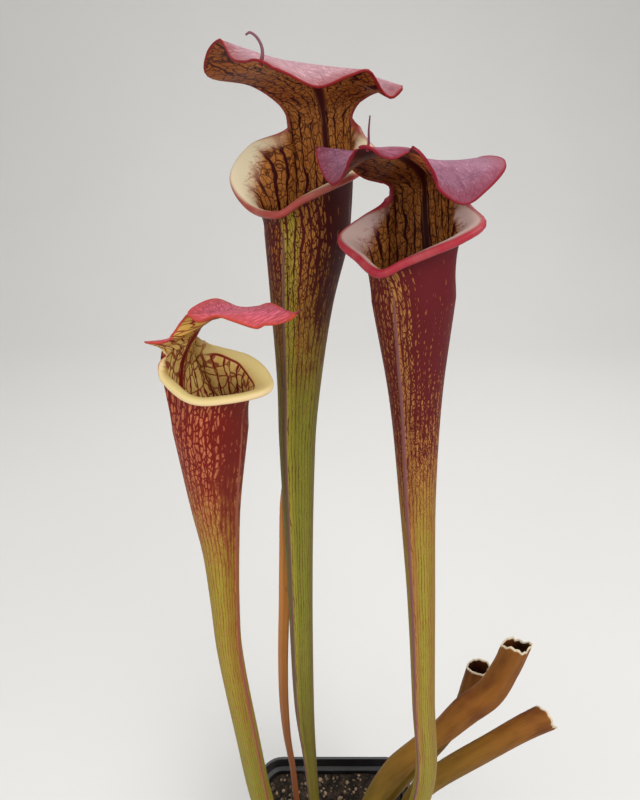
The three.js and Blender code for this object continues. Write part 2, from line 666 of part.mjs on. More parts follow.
// Square ring with rounded corners at one height, with some points along each straight side.
function squareRing(halfWidth, corner, height, sidePoints = 0) {
  const points = [];
  const reachOfCentre = (halfWidth - corner) * Math.SQRT2;
  for (let side = 0; side < 4; side += 1) {
    const diagonal = degrees(90 * side + 45);
    for (const share of steps(POT_CORNER_STEPS)) {
      const angle = degrees(90 * (side + share));
      const x = reachOfCentre * Math.cos(diagonal) + corner * Math.cos(angle);
      const y = reachOfCentre * Math.sin(diagonal) + corner * Math.sin(angle);
      points.push(new THREE.Vector3(x, y, height));
    }
    const from = points.at(-1);
    const reach = 2 * (halfWidth - corner);
    const ahead = degrees(90 * (side + 1));
    const along = new THREE.Vector3(-Math.sin(ahead), Math.cos(ahead), 0);
    for (let k = 1; k <= sidePoints; k += 1) {
      points.push(from.clone().addScaledVector(along, (reach * k) / (sidePoints + 1)));
    }
  }
  return points;
}

// Half width and corner radius of the pot's outside at a height, without its band.
function potOutside(height) {
  const share = height / POT_HEIGHT;
  const halfWidth = mix(POT_BASE_WIDTH, POT_TOP_WIDTH - 2 * POT_BAND_STEP, share) / 2;
  return { halfWidth, corner: mix(POT_BASE_CORNER, POT_TOP_CORNER, share) };
}

function potRing(height, inset, sidePoints = 0) {
  const { halfWidth, corner } = potOutside(height);
  return squareRing(halfWidth - inset, corner - inset, height, sidePoints);
}

function potGeometry() {
  const bandFoot = POT_HEIGHT - POT_BAND_HEIGHT;
  const band = -POT_BAND_STEP;
  const lip = band - POT_LIP;
  // Heights and how far the wall lies inside the tapered side there, up its outside and down
  // its inside.
  const profile = [
    [0, 1], [1, 0], [bandFoot - 1, 0], [bandFoot, band + 0.6], [POT_HEIGHT - 2, band],
    [POT_HEIGHT - 1.8, lip], [POT_HEIGHT - 0.4, lip], [POT_HEIGHT, band], [POT_HEIGHT, band + POT_WALL],
    [bandFoot + POT_WALL, band + POT_WALL], [bandFoot + 0.4, POT_WALL], [POT_FLOOR, POT_WALL],
  ];
  let pot = toSolid(lofted(profile.map(([height, inset]) => potRing(height, inset))));
  for (let k = 0; k < DRAIN_COUNT; k += 1) {
    const turn = degrees((360 * k) / DRAIN_COUNT);
    const reach = k % 2 ? DRAIN_CORNER_DISTANCE : DRAIN_DISTANCE;
    const drain = new THREE.CylinderGeometry(DRAIN_RADIUS, DRAIN_RADIUS, 3 * POT_FLOOR, 12);
    drain.rotateX(Math.PI / 2);
    drain.translate(reach * Math.cos(turn), reach * Math.sin(turn), POT_FLOOR / 2);
    pot = pot.subtract(toSolid(welded(drain)));
  }
  return toGeometry(pot);
}

// Bumps of the soil's top: crossed waves about 55 mm long, and finer ones of about 20 mm.
function soilBump(x, y) {
  const broad = Math.sin(x / 9 + 1.3 * Math.sin(y / 11)) * Math.cos(y / 8 - 0.7);
  const fine = Math.sin(x / 2.9 + y / 4.1) * Math.sin(y / 3.3 - x / 5.3);
  return SOIL_RELIEF * (0.6 * broad + 0.4 * fine);
}

function soilGeometry(rootstock) {
  const ringAt = (height) => potRing(height, POT_WALL + FIT_GAP, SOIL_SIDE_POINTS);
  const sideRings = [ringAt(POT_FLOOR + FIT_GAP), ringAt(SOIL_LEVEL - 1.5)];
  const topRings = SOIL_RING_SHARES.map((share) => ringAt(SOIL_LEVEL).map((outline) => {
    const [x, y] = [outline.x * share, outline.y * share];
    return new THREE.Vector3(x, y, SOIL_LEVEL + soilBump(x, y));
  }));
  return toGeometry(toSolid(lofted([...sideRings, ...topRings])).subtract(rootstock));
}

// The rootstock's stems joined in one body, swollen in knobs; grow adds clearance all round.
function rootstockSolid(grow) {
  const up = new THREE.Vector3(0, 0, 1);
  const stems = ROOTSTOCK_STEMS.map((route) => {
    const at = alongRoute(route);
    const rings = steps(STEM_STEPS).map((share) => {
      const { centre, tangent, radius } = at(share);
      const radiusAt = (angle) => {
        const knob = Math.sin(KNOB_TURNS.along * share + KNOB_TURNS.round * degrees(angle));
        return radius * (1 + KNOB_HEIGHT * knob) + grow;
      };
      return ringAcross(centre, tangent, up, evenAngles(STEM_SIDES), radiusAt);
    });
    return toSolid(lofted(rings));
  });
  return stems.slice(1).reduce((sum, stem) => sum.add(stem), stems[0]);
}

function welded(geometry) {
  geometry.deleteAttribute("normal");
  geometry.deleteAttribute("uv");
  return mergeVertices(geometry);
}

const group = new THREE.Group();

function addPiece(name, geometry, pieceMaterial) {
  const mesh = new THREE.Mesh(geometry, pieceMaterial);
  mesh.name = name;
  group.add(mesh);
}

addPiece("pot", potGeometry(), material(0x17171a, 0.42));
addPiece("soil", soilGeometry(rootstockSolid(FIT_GAP)), material(0x3a2f24, 0.95));

const standing = [TALL, FRONT, SHORT, OLD_UPPER, OLD_BACK, OLD_LOWER, BLADE];
const sockets = standing.map((leaf) => socketCutter(leaf.route));
const rootstock = sockets.reduce((body, socket) => body.subtract(socket), rootstockSolid(0));
addPiece("rootstock", toGeometry(rootstock), material(0x4c2f1c, 0.85));

addPiece(TALL.name, pitcherGeometry(TALL), material(0x8a6a2a, 0.4));
addPiece(FRONT.name, pitcherGeometry(FRONT), material(0x7a3030, 0.35));
addPiece(SHORT.name, pitcherGeometry(SHORT), material(0x9a3a34, 0.38));
for (const old of [OLD_UPPER, OLD_BACK, OLD_LOWER]) {
  addPiece(old.name, oldPitcherGeometry(old), material(0x8a4f1e, 0.7));
}
addPiece(BLADE.name, bladeGeometry(BLADE), material(0xc07a24, 0.5));

export default group;
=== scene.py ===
import math
import random

import bmesh
import bpy
import numpy as np
from mathutils import Matrix, Vector, noise


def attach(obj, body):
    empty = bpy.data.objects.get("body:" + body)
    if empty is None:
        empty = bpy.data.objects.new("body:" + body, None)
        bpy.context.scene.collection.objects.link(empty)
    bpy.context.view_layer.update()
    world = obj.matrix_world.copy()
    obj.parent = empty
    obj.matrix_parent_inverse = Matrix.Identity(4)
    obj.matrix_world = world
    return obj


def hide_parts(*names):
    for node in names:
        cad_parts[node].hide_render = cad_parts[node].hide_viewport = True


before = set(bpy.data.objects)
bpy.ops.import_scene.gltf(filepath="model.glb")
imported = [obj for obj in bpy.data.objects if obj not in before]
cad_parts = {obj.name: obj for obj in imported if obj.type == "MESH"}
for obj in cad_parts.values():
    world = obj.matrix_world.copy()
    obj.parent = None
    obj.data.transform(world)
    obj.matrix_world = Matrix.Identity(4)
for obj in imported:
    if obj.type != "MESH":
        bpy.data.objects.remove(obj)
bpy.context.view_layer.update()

bl_info = {
    "name": "Potted trumpet pitcher plant",
    "version": (1, 0, 0),
    "blender": (4, 5, 0),
    "location": "3D View > Sidebar > Pitcher Plant",
    "description": "Builds a potted trumpet pitcher plant and a studio round it",
    "category": "Object",
}

# Shapes are worked out in millimetres and brought to metres as they go into a mesh.
MM = 0.001

# Pot, the same as the CAD node.
POT_HEIGHT = 130
POT_TOP_WIDTH = 128
POT_BASE_WIDTH = 94
POT_WALL = 1.7
POT_FLOOR = 2
POT_BAND_HEIGHT = 11
POT_BAND_STEP = 3
POT_LIP = 0.7
POT_TOP_CORNER = 16
POT_BASE_CORNER = 11
POT_EDGE = 0.3
DRAINS = 8
DRAIN_RADIUS = 4.5
DRAIN_DISTANCE = 33
OUTER_DRAINS = 1.25

# Soil: its level, the height of its swells and crumbs, the gap between it and the pot, and the
# rings of its top as shares of its outline, from the first to the last and their number.
SOIL_LEVEL = 117
SOIL_RELIEF = 1.1
CRUMB_RELIEF = 0.9
FIT_GAP = 0.3
SOIL_RINGS = (0.985, 0.02, 34)
SOIL_SIDE_POINTS = 24

# Grains: their seed, their usual largest radius, their distance from the pot, how far towards
# its corners they lie, and how much larger a share of them is.
GRAINS_SEED = 4
GRAIN_RADIUS = 1.4
GRAINS_INSET = 3
CORNER_REACH = 1.32
LARGE_GRAIN = 1.5
LARGE_GRAIN_SHARE = 0.25

# Walls of the pitchers, and the wing down their front, which rises and fades out between these
# shares of the tube.
WALL = 0.8
WING_HEIGHT = 1.8
WING_HALF_WIDTH = 0.75
WING_RISES = (0.05, 0.3)
WING_FADES = (0.75, 1.1)

# How far a wall keeps the tube's direction, and the edge's, before it bends, as shares of its
# length. TIP_REACH is the same for the lid's middle line where it arrives at the tip.
REACH_UP = 0.45
REACH_OUT = 0.3
TIP_REACH = 0.4

# Radius and angle of the edge's roll outwards. The mouth's margin is raised by ROLL_RISE of the
# radius, and one roll turns into the other over this length of the margin past the neck.
MOUTH_ROLL = (1.05, 170)
LID_ROLL = (2.0, 25)
ROLL_RISE = 0.7
ROLL_CHANGE = (-11, 2.5)

# The margin leaves the mouth for the neck at NECK_ANGLE degrees from the front and counts as
# the lid's within NECK_BLEND of it. From CLIMB_FROM on the wall arrives steeply, as the neck
# does. The lid's cross rows end at LID_END_SHARE of the margin and run ahead in the middle.
NECK_ANGLE = 131
NECK_BLEND = (-14, 8)
CLIMB_FROM = 100
LID_END_SHARE = 0.95
LID_LEAD = 0.8

# Steps of the fine surfaces. Those round the mouth get closer together towards the front, and
# those of the tube towards its top, the more the higher the power.
MOUTH_STEPS = 100
MOUTH_CROWDING = 1.25
TUBE_ROWS = 96
TUBE_CROWDING = 1.3
HEAD_ROWS = 26
LID_ROWS = 48
LID_COLUMNS = 24
ROLL_ROWS = 10
CURVE_SAMPLES = 240

# The vein net: its cells round a tube, how many times longer than wide they are low down and at
# the top, and how long one is on a lid and on the other leaves. VEINS_INSIDE and VEINS_OUTSIDE
# are the lengthwise veins round a tube, and FAN_ANGLE how far they spread over the lid.
CELLS_ROUND = 42
CELL_STRETCH_LOW = 6
CELL_STRETCH_TOP = 2.0
LID_CELL = 3.2
CELL_LENGTH = 4
VEINS_INSIDE = 26
VEINS_OUTSIDE = 34
FAN_ANGLE = 80
NET_RADIUS = CELLS_ROUND / (2 * math.pi)

# Each pitcher: route lists x, y, z and tube radius from the foot to the top of the tube;
# facing gives the way the front looks at the foot, halfway and at the top, in degrees from -Y
# towards +X; neck says how far behind and below the margin the neck's middle line starts, how
# it leans forward and for what share of its length; edge follows the margin of mouth and lid
# round the tube, as degrees from the front, then distance forward, sideways and up from the top
# of the tube, then the slope with which the wall reaches it; hair is the thread at the lid's
# tip, as forward, sideways, up and radius.
TALL = {
    "route": [
        (-13, 4, 114, 5.6), (-13.5, 4.4, 128, 5), (-16, 6, 170, 3.8), (-19, 7, 231, 4.2),
        (-22.3, 8, 297, 6), (-23.3, 12, 408, 6.8), (-23.2, 17, 498, 8.6), (-21.8, 20, 530, 10),
        (-20, 24, 568, 13.6), (-17.5, 26, 596, 17.6),
    ],
    "facing": (-40, -32, -30),
    "neck": {"depth": 5, "drop": 3, "lean": 0.15, "reach": 0.5},
    "edge": [
        (-174, 27, -7, 63.5, 0.2), (-168, 21, -16.5, 64.5, 0.5), (-162, 14, -27, 70, 0.9),
        (-157, 6, -40, 66, 0.6), (-151, -2, -47, 58.5, 0.2), (-144, -12, -34, 55.5, 0),
        (-137, -12, -20, 49.5, 0.1), (-131, -9.5, -13.5, 43, 0.2), (-124, -9, -14.5, 38, 0.2),
        (-106, -4, -30, 32.5, 0), (-82, 4, -35.5, 21.5, 0), (-48, 14, -21, 13, 0),
        (0, 23, 0, 13, 0), (34, 19, 9, 18.5, 0), (56, 15, 19, 23.5, 0), (76, 8, 27, 28, 0),
        (94, 1, 31, 33, 0), (110, -3, 25, 37, 0.1), (124, -8, 18, 40, 0.2),
        (131, -9.5, 14.5, 44.5, 0.2), (137, -11.5, 16.5, 50.5, 0.1), (143, -10, 24, 54, 0),
        (149, -1, 38, 56, -0.2), (153, 3, 36.5, 53, -0.5), (157, 7, 34.5, 54.5, 0),
        (161, 12, 31.5, 60.5, 0.4), (166, 18, 27.5, 59.5, 0), (171, 24, 19, 56.5, -0.5),
        (176, 29.5, 10, 60.5, -0.3), (180, 31.5, 2, 63.5, 0),
    ],
    "hair": [
        (0, 0, -1.2, 0.8), (0.9, 0, 1.8, 0.6), (0.7, 0, 4.2, 0.5), (-0.7, 0, 6.6, 0.45),
        (-2.8, 0, 7.9, 0.4), (-4.2, 0, 7.2, 0.3),
    ],
}
FRONT = {
    "route": [
        (34, -9, 114, 6.2), (36, -10.5, 128, 5.6), (47, -18, 180, 5.6), (53.5, -26, 272, 6),
        (44.7, -28, 357, 5.8), (36.6, -28, 436, 6.2), (30, -26, 496, 7.4), (25.4, -24, 545, 9.8),
        (21.5, -22, 586, 14.6),
    ],
    "facing": (-60, -42, -32),
    "neck": {"depth": 5, "drop": 3, "lean": 0.2, "reach": 0.25},
    "edge": [
        (-176, 29, -8, 51.5, -0.2), (-171, 27, -11.5, 49, -0.4), (-167, 20, -17, 44.5, -0.8),
        (-163, 14, -22.5, 40.5, -1), (-159, 6, -31, 37.5, -1.2), (-155, 2, -37.5, 41.5, -0.9),
        (-151, -3, -41.5, 47, -0.3), (-146, -9, -34, 41.5, -0.4), (-141, -10, -26.5, 37.5, -0.2),
        (-136, -10.5, -19, 36.5, 0), (-131, -10, -15.5, 34.5, 0.1), (-124, -9, -16, 29.5, 0.1),
        (-106, -3, -23.5, 24.5, 0), (-82, 6, -28, 19, 0), (-45, 14, -16.5, 15.5, 0),
        (0, 20, -5, 13.5, 0), (34, 18, 2.5, 17.5, 0), (60, 15, 10.5, 21.5, 0),
        (78, 10, 18.5, 25.5, 0), (94, 4, 23, 29.5, 0), (110, -3, 16, 32, 0.1),
        (124, -8, 9.5, 34, 0.1), (131, -10, 5.5, 37, 0.1), (136, -10, 7, 42, 0),
        (141, -12, 13, 46, 0), (147, -8, 21, 47, -0.1), (152, 0, 25, 45.5, -0.5),
        (157, 6, 22, 40, -0.9), (162, 9, 17.5, 36.5, -1.1), (167, 14, 11, 41, -0.5),
        (171, 18, 9, 46.5, 0.3), (174, 21, 4.5, 51.5, 0.5), (177, 26, 0.5, 50, -0.2),
        (180, 31, -4.5, 52.5, 0.2),
    ],
    "hair": [(0, 0, -1, 0.5), (0.2, 0, 1.5, 0.35), (0.1, 0, 4.5, 0.28), (0.3, 0, 8, 0.2)],
}
SHORT = {
    "route": [
        (-34, -6, 114, 6.4), (-36, -6.6, 128, 5.8), (-45, -9, 160, 6.4), (-52.9, -10, 221, 7),
        (-57, -14, 300, 6.6), (-61, -16, 383, 6.4), (-60.4, -16, 423, 7), (-59.7, -15, 456, 8.4),
        (-59.8, -14, 486, 11.2), (-58.5, -12.5, 525, 15.6),
    ],
    "facing": (40, 52, 60),
    "neck": {"depth": -2.5, "drop": 3, "lean": 0.6, "reach": 0.45},
    "edge": [
        (-178, 42.5, -5.5, 59, 0), (-174, 38.5, -9.5, 58.5, -0.2), (-170, 35, -10, 57, -0.5),
        (-165, 28, -13, 59, -0.2), (-161, 22, -14, 59.5, 0.1), (-156, 14, -14, 56, -0.4),
        (-151, 7, -12, 56, 0.1), (-147, 0, -9, 50.5, 0), (-145, -5, -10.5, 44, -0.3),
        (-141, -11.5, -14, 42, 0), (-137, -16.5, -12.5, 40.5, 0.2), (-131, -13, -8, 37, 0.3),
        (-124, -13, -9, 31.5, 0.3), (-110, -9, -14.5, 27, 0), (-84, 7, -18, 24, 0),
        (-45, 20, -12, 24.5, 0), (0, 30, 1.5, 25.5, 0.1), (40, 22, 13, 25.5, 0.1),
        (75, 9, 19, 27, 0.1), (105, -4, 15.5, 29.5, 0.1), (124, -9, 9, 32.5, 0.2),
        (131, -10, 8, 36, 0.2), (137, -14, 9.5, 44, 0.2), (144, -12, 12.5, 47.5, 0.1),
        (152, -2, 13.5, 52, 0.2), (160, 10, 12.5, 51.5, -0.1), (168, 20, 11, 54, 0),
        (172, 27, 9, 57, 0.2), (177, 36, 4, 58.5, 0), (180, 45, -3, 60.5, 0.1),
    ],
    "hair": [(-1, 0, 0, 0.6), (0.5, 0, 0.4, 0.5), (1.6, 0, 1.2, 0.35), (2.4, 0, 2.2, 0.2)],
}

# Old pitchers cut off above the tube: route as above; ragged is the height of the torn end.
OLD_PITCHERS = {
    "old_pitcher_upper": {"ragged": 6, "route": [
        (16, 3, 114, 5.4), (17, 3, 130, 5), (25, 4, 175, 6), (43, 6, 224, 7.6), (58, 9, 243, 7.2),
        (72, 12, 257, 7.4), (88, 16, 277, 9), (103, 20, 290, 9.2), (112, 24, 311, 8.8),
        (117, 27, 331, 8.6),
    ]},
    "old_pitcher_back": {"ragged": 2, "route": [
        (26, 12, 114, 4.4), (28, 13, 130, 4), (48, 20, 168, 4.4), (78, 31, 208, 5.2),
        (95, 40, 240, 6.6), (101, 45, 262, 7.6), (104, 48, 279, 8),
    ]},
    "old_pitcher_lower": {"ragged": 4, "route": [
        (46, 3, 114, 5), (47, 3, 130, 4.8), (52, 2, 168, 5.6), (61, 2, 202, 6.6), (74, 4, 218, 7.2),
        (106, 10, 242, 7.6), (132, 16, 257, 8.2), (147, 19, 264, 8.6),
    ]},
}
OLD_SQUASH = 0.16
OLD_ROWS = 70
OLD_SIDES = 44
TORN_FROM = 0.86

# Narrow leaf: route lists x, y, z and half width.
BLADE = {
    "route": [
        (-28, 10, 114, 3.4), (-28.5, 10, 130, 3.2), (-31.7, 11, 212, 2.9), (-35, 13, 251, 3.4),
        (-36.2, 15, 287, 3.8), (-35.6, 17, 330, 3.8), (-33.5, 19, 380, 3.8), (-32, 21, 426, 3.4),
        (-31.7, 22, 453, 2.2), (-30.2, 22, 474, 0.9),
    ],
    "facing": (-38, -32, -28),
}
BLADE_THICKNESS = 1.6
BLADE_RIB = 0.9
BLADE_RIB_WIDTH = 0.3
BLADE_ROWS = 90
BLADE_SIDES = 20

# Rootstock: creeping stems that meet in one clump; each lists x, y, z and radius. Its knobs and
# wrinkles are shares of the radius.
ROOTSTOCK_STEMS = [
    [
        (-47, -7, 114, 6), (-36, -5, 116, 9.5), (-14, 3, 116, 11), (16, 4, 116, 11),
        (44, 2, 116, 10), (54, 1, 114, 6),
    ],
    [(12, 3, 115, 8), (26, 12, 115, 9), (32, 17, 113, 5)],
    [(18, 1, 115, 8), (33, -8, 116, 9.5), (41, -14, 114, 5)],
    [(-16, 4, 115, 8), (-29, 10, 115, 8.5), (-36, 15, 113, 5)],
]
ROOTSTOCK_ROWS = 40
ROOTSTOCK_SIDES = 36
KNOB_HEIGHT = 0.07
WRINKLE_HEIGHT = 0.03


def curve_through(stops, rows, x):
    """Smooth curve through rows of numbers at rising stops, at each x."""
    stops = np.asarray(stops, float)
    rows = np.asarray(rows, float).reshape(len(stops), -1)
    slopes = np.empty_like(rows)
    slopes[1:-1] = (rows[2:] - rows[:-2]) / (stops[2:] - stops[:-2])[:, None]
    slopes[0] = (rows[1] - rows[0]) / (stops[1] - stops[0])
    slopes[-1] = (rows[-1] - rows[-2]) / (stops[-1] - stops[-2])
    x = np.atleast_1d(np.asarray(x, float))
    i = np.clip(np.searchsorted(stops, x, side="right") - 1, 0, len(stops) - 2)
    length = stops[i + 1] - stops[i]
    t = np.clip((x - stops[i]) / length, 0, 1)[:, None]
    length = length[:, None]
    start = (2 * t**3 - 3 * t**2 + 1) * rows[i] + (t**3 - 2 * t**2 + t) * length * slopes[i]
    end = (-2 * t**3 + 3 * t**2) * rows[i + 1] + (t**3 - t**2) * length * slopes[i + 1]
    return start + end


def loop_through(stops, rows, x):
    """The same on a loop of 360 degrees, by repeating two stops past each end."""
    k, v = list(stops), [list(row) for row in rows]
    long_stops = [k[-2] - 360, k[-1] - 360] + k + [k[0] + 360, k[1] + 360]
    return curve_through(long_stops, v[-2:] + v + v[:2], x)


def ease(start, end, x):
    t = np.clip((np.asarray(x, float) - start) / (end - start), 0, 1)
    return t * t * (3 - 2 * t)


def unit(v):
    return v / np.maximum(np.linalg.norm(v, axis=-1, keepdims=True), 1e-9)


def bezier(p0, p1, p2, p3, t):
    t = np.asarray(t, float)
    if t.ndim:
        t = t[:, None]
    return (1 - t) ** 3 * p0 + 3 * t * (1 - t) ** 2 * p1 + 3 * t * t * (1 - t) * p2 + t**3 * p3


def shares(steps):
    return np.linspace(0, 1, steps + 1)


def lengths_along(points):
    steps = np.linalg.norm(np.diff(points, axis=0), axis=-1)
    return np.concatenate([np.zeros_like(steps[:1]), np.cumsum(steps, axis=0)])


def at_length(points, share):
    """Points along a line at shares of its length."""
    s = lengths_along(points)
    return np.stack([np.interp(share * s[-1], s, points[:, k]) for k in range(3)], 1)


def margin_at(pitcher, angles):
    """The margin's points at these angles, the direction the wall reaches them in, lid share."""
    edge = np.array(pitcher["edge"], float)
    v = loop_through(edge[:, 0], edge[:, 1:], angles)
    before, after = NECK_BLEND
    lid = ease(NECK_ANGLE + before, NECK_ANGLE + after, np.abs(angles))[:, None]
    out = unit(np.concatenate([unit(v[:, :2]), v[:, 3:]], 1))
    points = v[:, :3] + out * (lid - 1) * MOUTH_ROLL[0]
    points[:, 2:] += (1 - lid) * ROLL_RISE * MOUTH_ROLL[0]
    return points, out, lid


def leaning(pitcher):
    return unit(np.array([pitcher["neck"]["lean"], 0, 1.0]))


def lid_surface(pitcher):
    """Neck and lid as cross rows from the right margin over the middle line to the left."""
    fine = np.linspace(NECK_ANGLE, 180, CURVE_SAMPLES + 1)
    right, left = margin_at(pitcher, fine)[0], margin_at(pitcher, -fine)[0]
    neck = pitcher["neck"]
    foot = (right[0] + left[0]) / 2 - np.array([neck["depth"], 0, neck["drop"]])
    (tip,), (tip_out,), _ = margin_at(pitcher, np.array([180.0]))
    length = np.linalg.norm(tip - foot)
    rise = foot + leaning(pitcher) * neck["reach"] * length
    spine = bezier(foot, rise, tip - tip_out * TIP_REACH * length, tip, shares(CURVE_SAMPLES))
    share = shares(LID_ROWS)
    r, l = at_length(right, share * LID_END_SHARE), at_length(left, share * LID_END_SHARE)
    middle = at_length(spine, share + LID_LEAD * share * (1 - share) ** 2)
    w = 1 - 2 * shares(LID_COLUMNS)[None, :, None]
    return middle[:, None] + ((r - l) / 2)[:, None] * w + ((r + l) / 2 - middle)[:, None] * w * w


def along_route(route, share):
    """Centres, radii and directions at shares of a route's length."""
    path = np.array(route, float)
    s = lengths_along(path[:, :3])
    rows = curve_through(s, path, share * s[-1])
    ahead = curve_through(s, path[:, :3], np.minimum(share + 0.001, 1) * s[-1])
    behind = curve_through(s, path[:, :3], np.maximum(share - 0.001, 0) * s[-1])
    return rows[:, :3], rows[:, 3], unit(ahead - behind)


def front_and_side(facing, share):
    turn = np.radians(curve_through([0, 0.5, 1], facing, share)[:, 0])
    front = np.stack([np.sin(turn), -np.cos(turn), 0 * turn], 1)
    side = np.stack([np.cos(turn), np.sin(turn), 0 * turn], 1)
    return front, side


def across_route(tangents, fronts):
    """Two directions square to each tangent: towards the front, and to its side."""
    ahead = unit(fronts - (fronts * tangents).sum(1)[:, None] * tangents)
    return ahead[:, None], np.cross(tangents, ahead)[:, None]


def rings_across(centres, tangents, fronts, angles, radii):
    """Rings of points in the planes across the tangents; angle 0 is the front."""
    ahead, aside = across_route(tangents, fronts)
    u = np.radians(angles)[None, :, None]
    return centres[:, None] + radii[..., None] * (np.cos(u) * ahead + np.sin(u) * aside)


def pitcher_surface(pitcher):
    """The wall's middle surface: closed rings up to the margin, and the lid's rows behind it."""
    even = np.linspace(-1, 1, MOUTH_STEPS + 1)
    mouth = np.sign(even) * np.abs(even) ** MOUTH_CROWDING * NECK_ANGLE
    back = NECK_ANGLE + (360 - 2 * NECK_ANGLE) * shares(LID_COLUMNS)
    angles = np.concatenate([mouth, back[1:]])
    share = shares(TUBE_ROWS)
    place = 1 - (1 - share) ** TUBE_CROWDING
    centres, radii, tangents = along_route(pitcher["route"], place)
    fronts, sides = front_and_side(pitcher["facing"], share)
    aside = np.radians(np.abs((angles + 180) % 360 - 180))[None] * radii[:, None]
    wing = np.exp(-((aside / WING_HALF_WIDTH) ** 2))
    height = WING_HEIGHT * (ease(*WING_RISES, share) * (1 - ease(*WING_FADES, share)))[:, None]
    tube = rings_across(centres, tangents, fronts, angles, radii[:, None] + height * wing)
    axes = np.stack([fronts[-1], sides[-1], [0, 0, 1]])
    lid = lid_surface(pitcher)
    start = (tube[-1] - centres[-1]) @ axes.T
    rise = axes @ tangents[-1]
    end, out, _ = margin_at(pitcher, angles)
    end[MOUTH_STEPS:] = lid[0]
    climb = ease(CLIMB_FROM, NECK_ANGLE, np.abs(angles))[:, None]
    arriving = unit(out * (1 - climb) + leaning(pitcher) * climb)
    length = np.linalg.norm(end - start, axis=1)[:, None]
    head = [
        bezier(start, start + rise * length * REACH_UP, end - arriving * length * REACH_OUT, end, t)
        for t in shares(HEAD_ROWS)[1:]
    ]
    head = centres[-1] + np.array(head) @ axes
    rows = np.concatenate([tube, head])
    rows[:, -1] = rows[:, 0]
    return rows, centres[-1] + lid @ axes, angles, radii, wing


def carried_by(pitcher_rows, lid, angles, radii, wing):
    """What the wall's vertices carry for the patterns on them, for the rings and for the lid.

    net runs round and along the wall in cells of its vein net; ray holds the cosine and sine of
    the angle that a lengthwise vein keeps, and the share of the lid; margin is the distance
    from the edge in millimetres; wing is 1 on the wing's crest.
    """
    widths = np.concatenate([radii, np.full(HEAD_ROWS, radii[-1])]) * 2 * math.pi / CELLS_ROUND
    share = np.concatenate([shares(TUBE_ROWS), np.ones(HEAD_ROWS)])
    stretch = CELL_STRETCH_LOW + (CELL_STRETCH_TOP - CELL_STRETCH_LOW) * ease(0.3, 0.95, share)
    cell = (widths * stretch)[:, None]
    steps = np.linalg.norm(np.diff(pitcher_rows, axis=0), axis=-1)
    along = np.concatenate([np.zeros_like(steps[:1]), np.cumsum(steps / cell[1:], axis=0)])
    length = lengths_along(pitcher_rows)
    straight = 1 - 2 * shares(LID_COLUMNS)[None]
    across = np.abs(straight)
    half = np.linalg.norm(lid[:, 0] - lid[:, -1], axis=-1) / 2
    inward = np.zeros(len(angles))
    inward[MOUTH_STEPS:] = (1 - across[0]) * half[0]
    turn = np.radians(angles)[None] + 0 * along
    rings = {
        "net": net_places(NET_RADIUS, turn, along),
        "ray": rays(turn, 0 * along),
        "margin": length[-1][None] - length + inward[None],
        "wing": np.concatenate([wing, wing[-1:] * np.linspace(1, 0, HEAD_ROWS)[:, None]]),
    }
    middle = lengths_along(lid[:, LID_COLUMNS // 2])
    narrow = int(np.argmin(half[: LID_ROWS // 2]))
    x = straight * half[:, None]
    y = (middle - middle[narrow])[:, None] + half[narrow] / math.tan(math.radians(FAN_ANGLE))
    fan = np.degrees(np.arctan2(x, np.maximum(y, 0.1))) / FAN_ANGLE
    spread = ease(middle[narrow] - 2, middle[narrow] + 10, middle)[:, None]
    turn = np.radians(180 - (180 - NECK_ANGLE) * (straight * (1 - spread) + fan * spread))
    growth = np.maximum(half / half[0], 1) ** 0.8
    lid_along = along[-1][MOUTH_STEPS:][None] + middle[:, None] / LID_CELL
    to_edge = np.minimum((1 - across) * half[:, None], (middle[-1] - middle)[:, None])
    lidness = ease(0, 0.3, middle / middle[-1])[:, None] + 0 * turn
    behind = {
        "net": net_places(NET_RADIUS * growth[:, None], turn, lid_along),
        "ray": rays(turn, lidness),
        "margin": to_edge,
        "wing": 0 * turn,
    }
    return rings, behind


def net_places(radius, turn, along):
    return np.stack([radius * np.cos(turn), radius * np.sin(turn), along], -1)


def rays(turn, lidness):
    return np.stack([np.cos(turn), np.sin(turn), lidness], -1)


def add_grid(bm, points, carried=None):
    """A grid made by the operator and moved to rows of points; it carries values by layer."""
    rows, columns = points.shape[:2]
    carried = carried or {}
    layers = []
    for name, values in carried.items():
        kind = bm.verts.layers.float_vector if values.ndim == 3 else bm.verts.layers.float
        layers.append((kind.get(name) or kind.new(name), values.reshape(rows * columns, -1)))
    made = bmesh.ops.create_grid(bm, x_segments=columns - 1, y_segments=rows - 1, size=1)
    for k, (vertex, place) in enumerate(zip(made["verts"], points.reshape(-1, 3))):
        vertex.co = place
        for layer, values in layers:
            vertex[layer] = values[k] if values.shape[1] == 3 else values[k][0]
    return made["verts"]


def weld(bm, distance=1e-3):
    bmesh.ops.remove_doubles(bm, verts=bm.verts, dist=distance)


def edge_loop(bm, start, towards):
    """The open edge's vertices in order, from the one at start to the one at towards and on."""
    border = [v for v in bm.verts if v.is_boundary]
    loop = [min(border, key=lambda v: (v.co - Vector(p)).length) for p in (start, towards)]
    while True:
        ways = [e.other_vert(loop[-1]) for e in loop[-1].link_edges if e.is_boundary]
        ahead = next(v for v in ways if v is not loop[-2])
        if ahead is loop[0]:
            return loop
        loop.append(ahead)


def joined_to(vertex, new):
    """The new vertex at the other end of one of this vertex's edges."""
    others = (edge.other_vert(vertex) for edge in vertex.link_edges)
    return next(other for other in others if other in new)


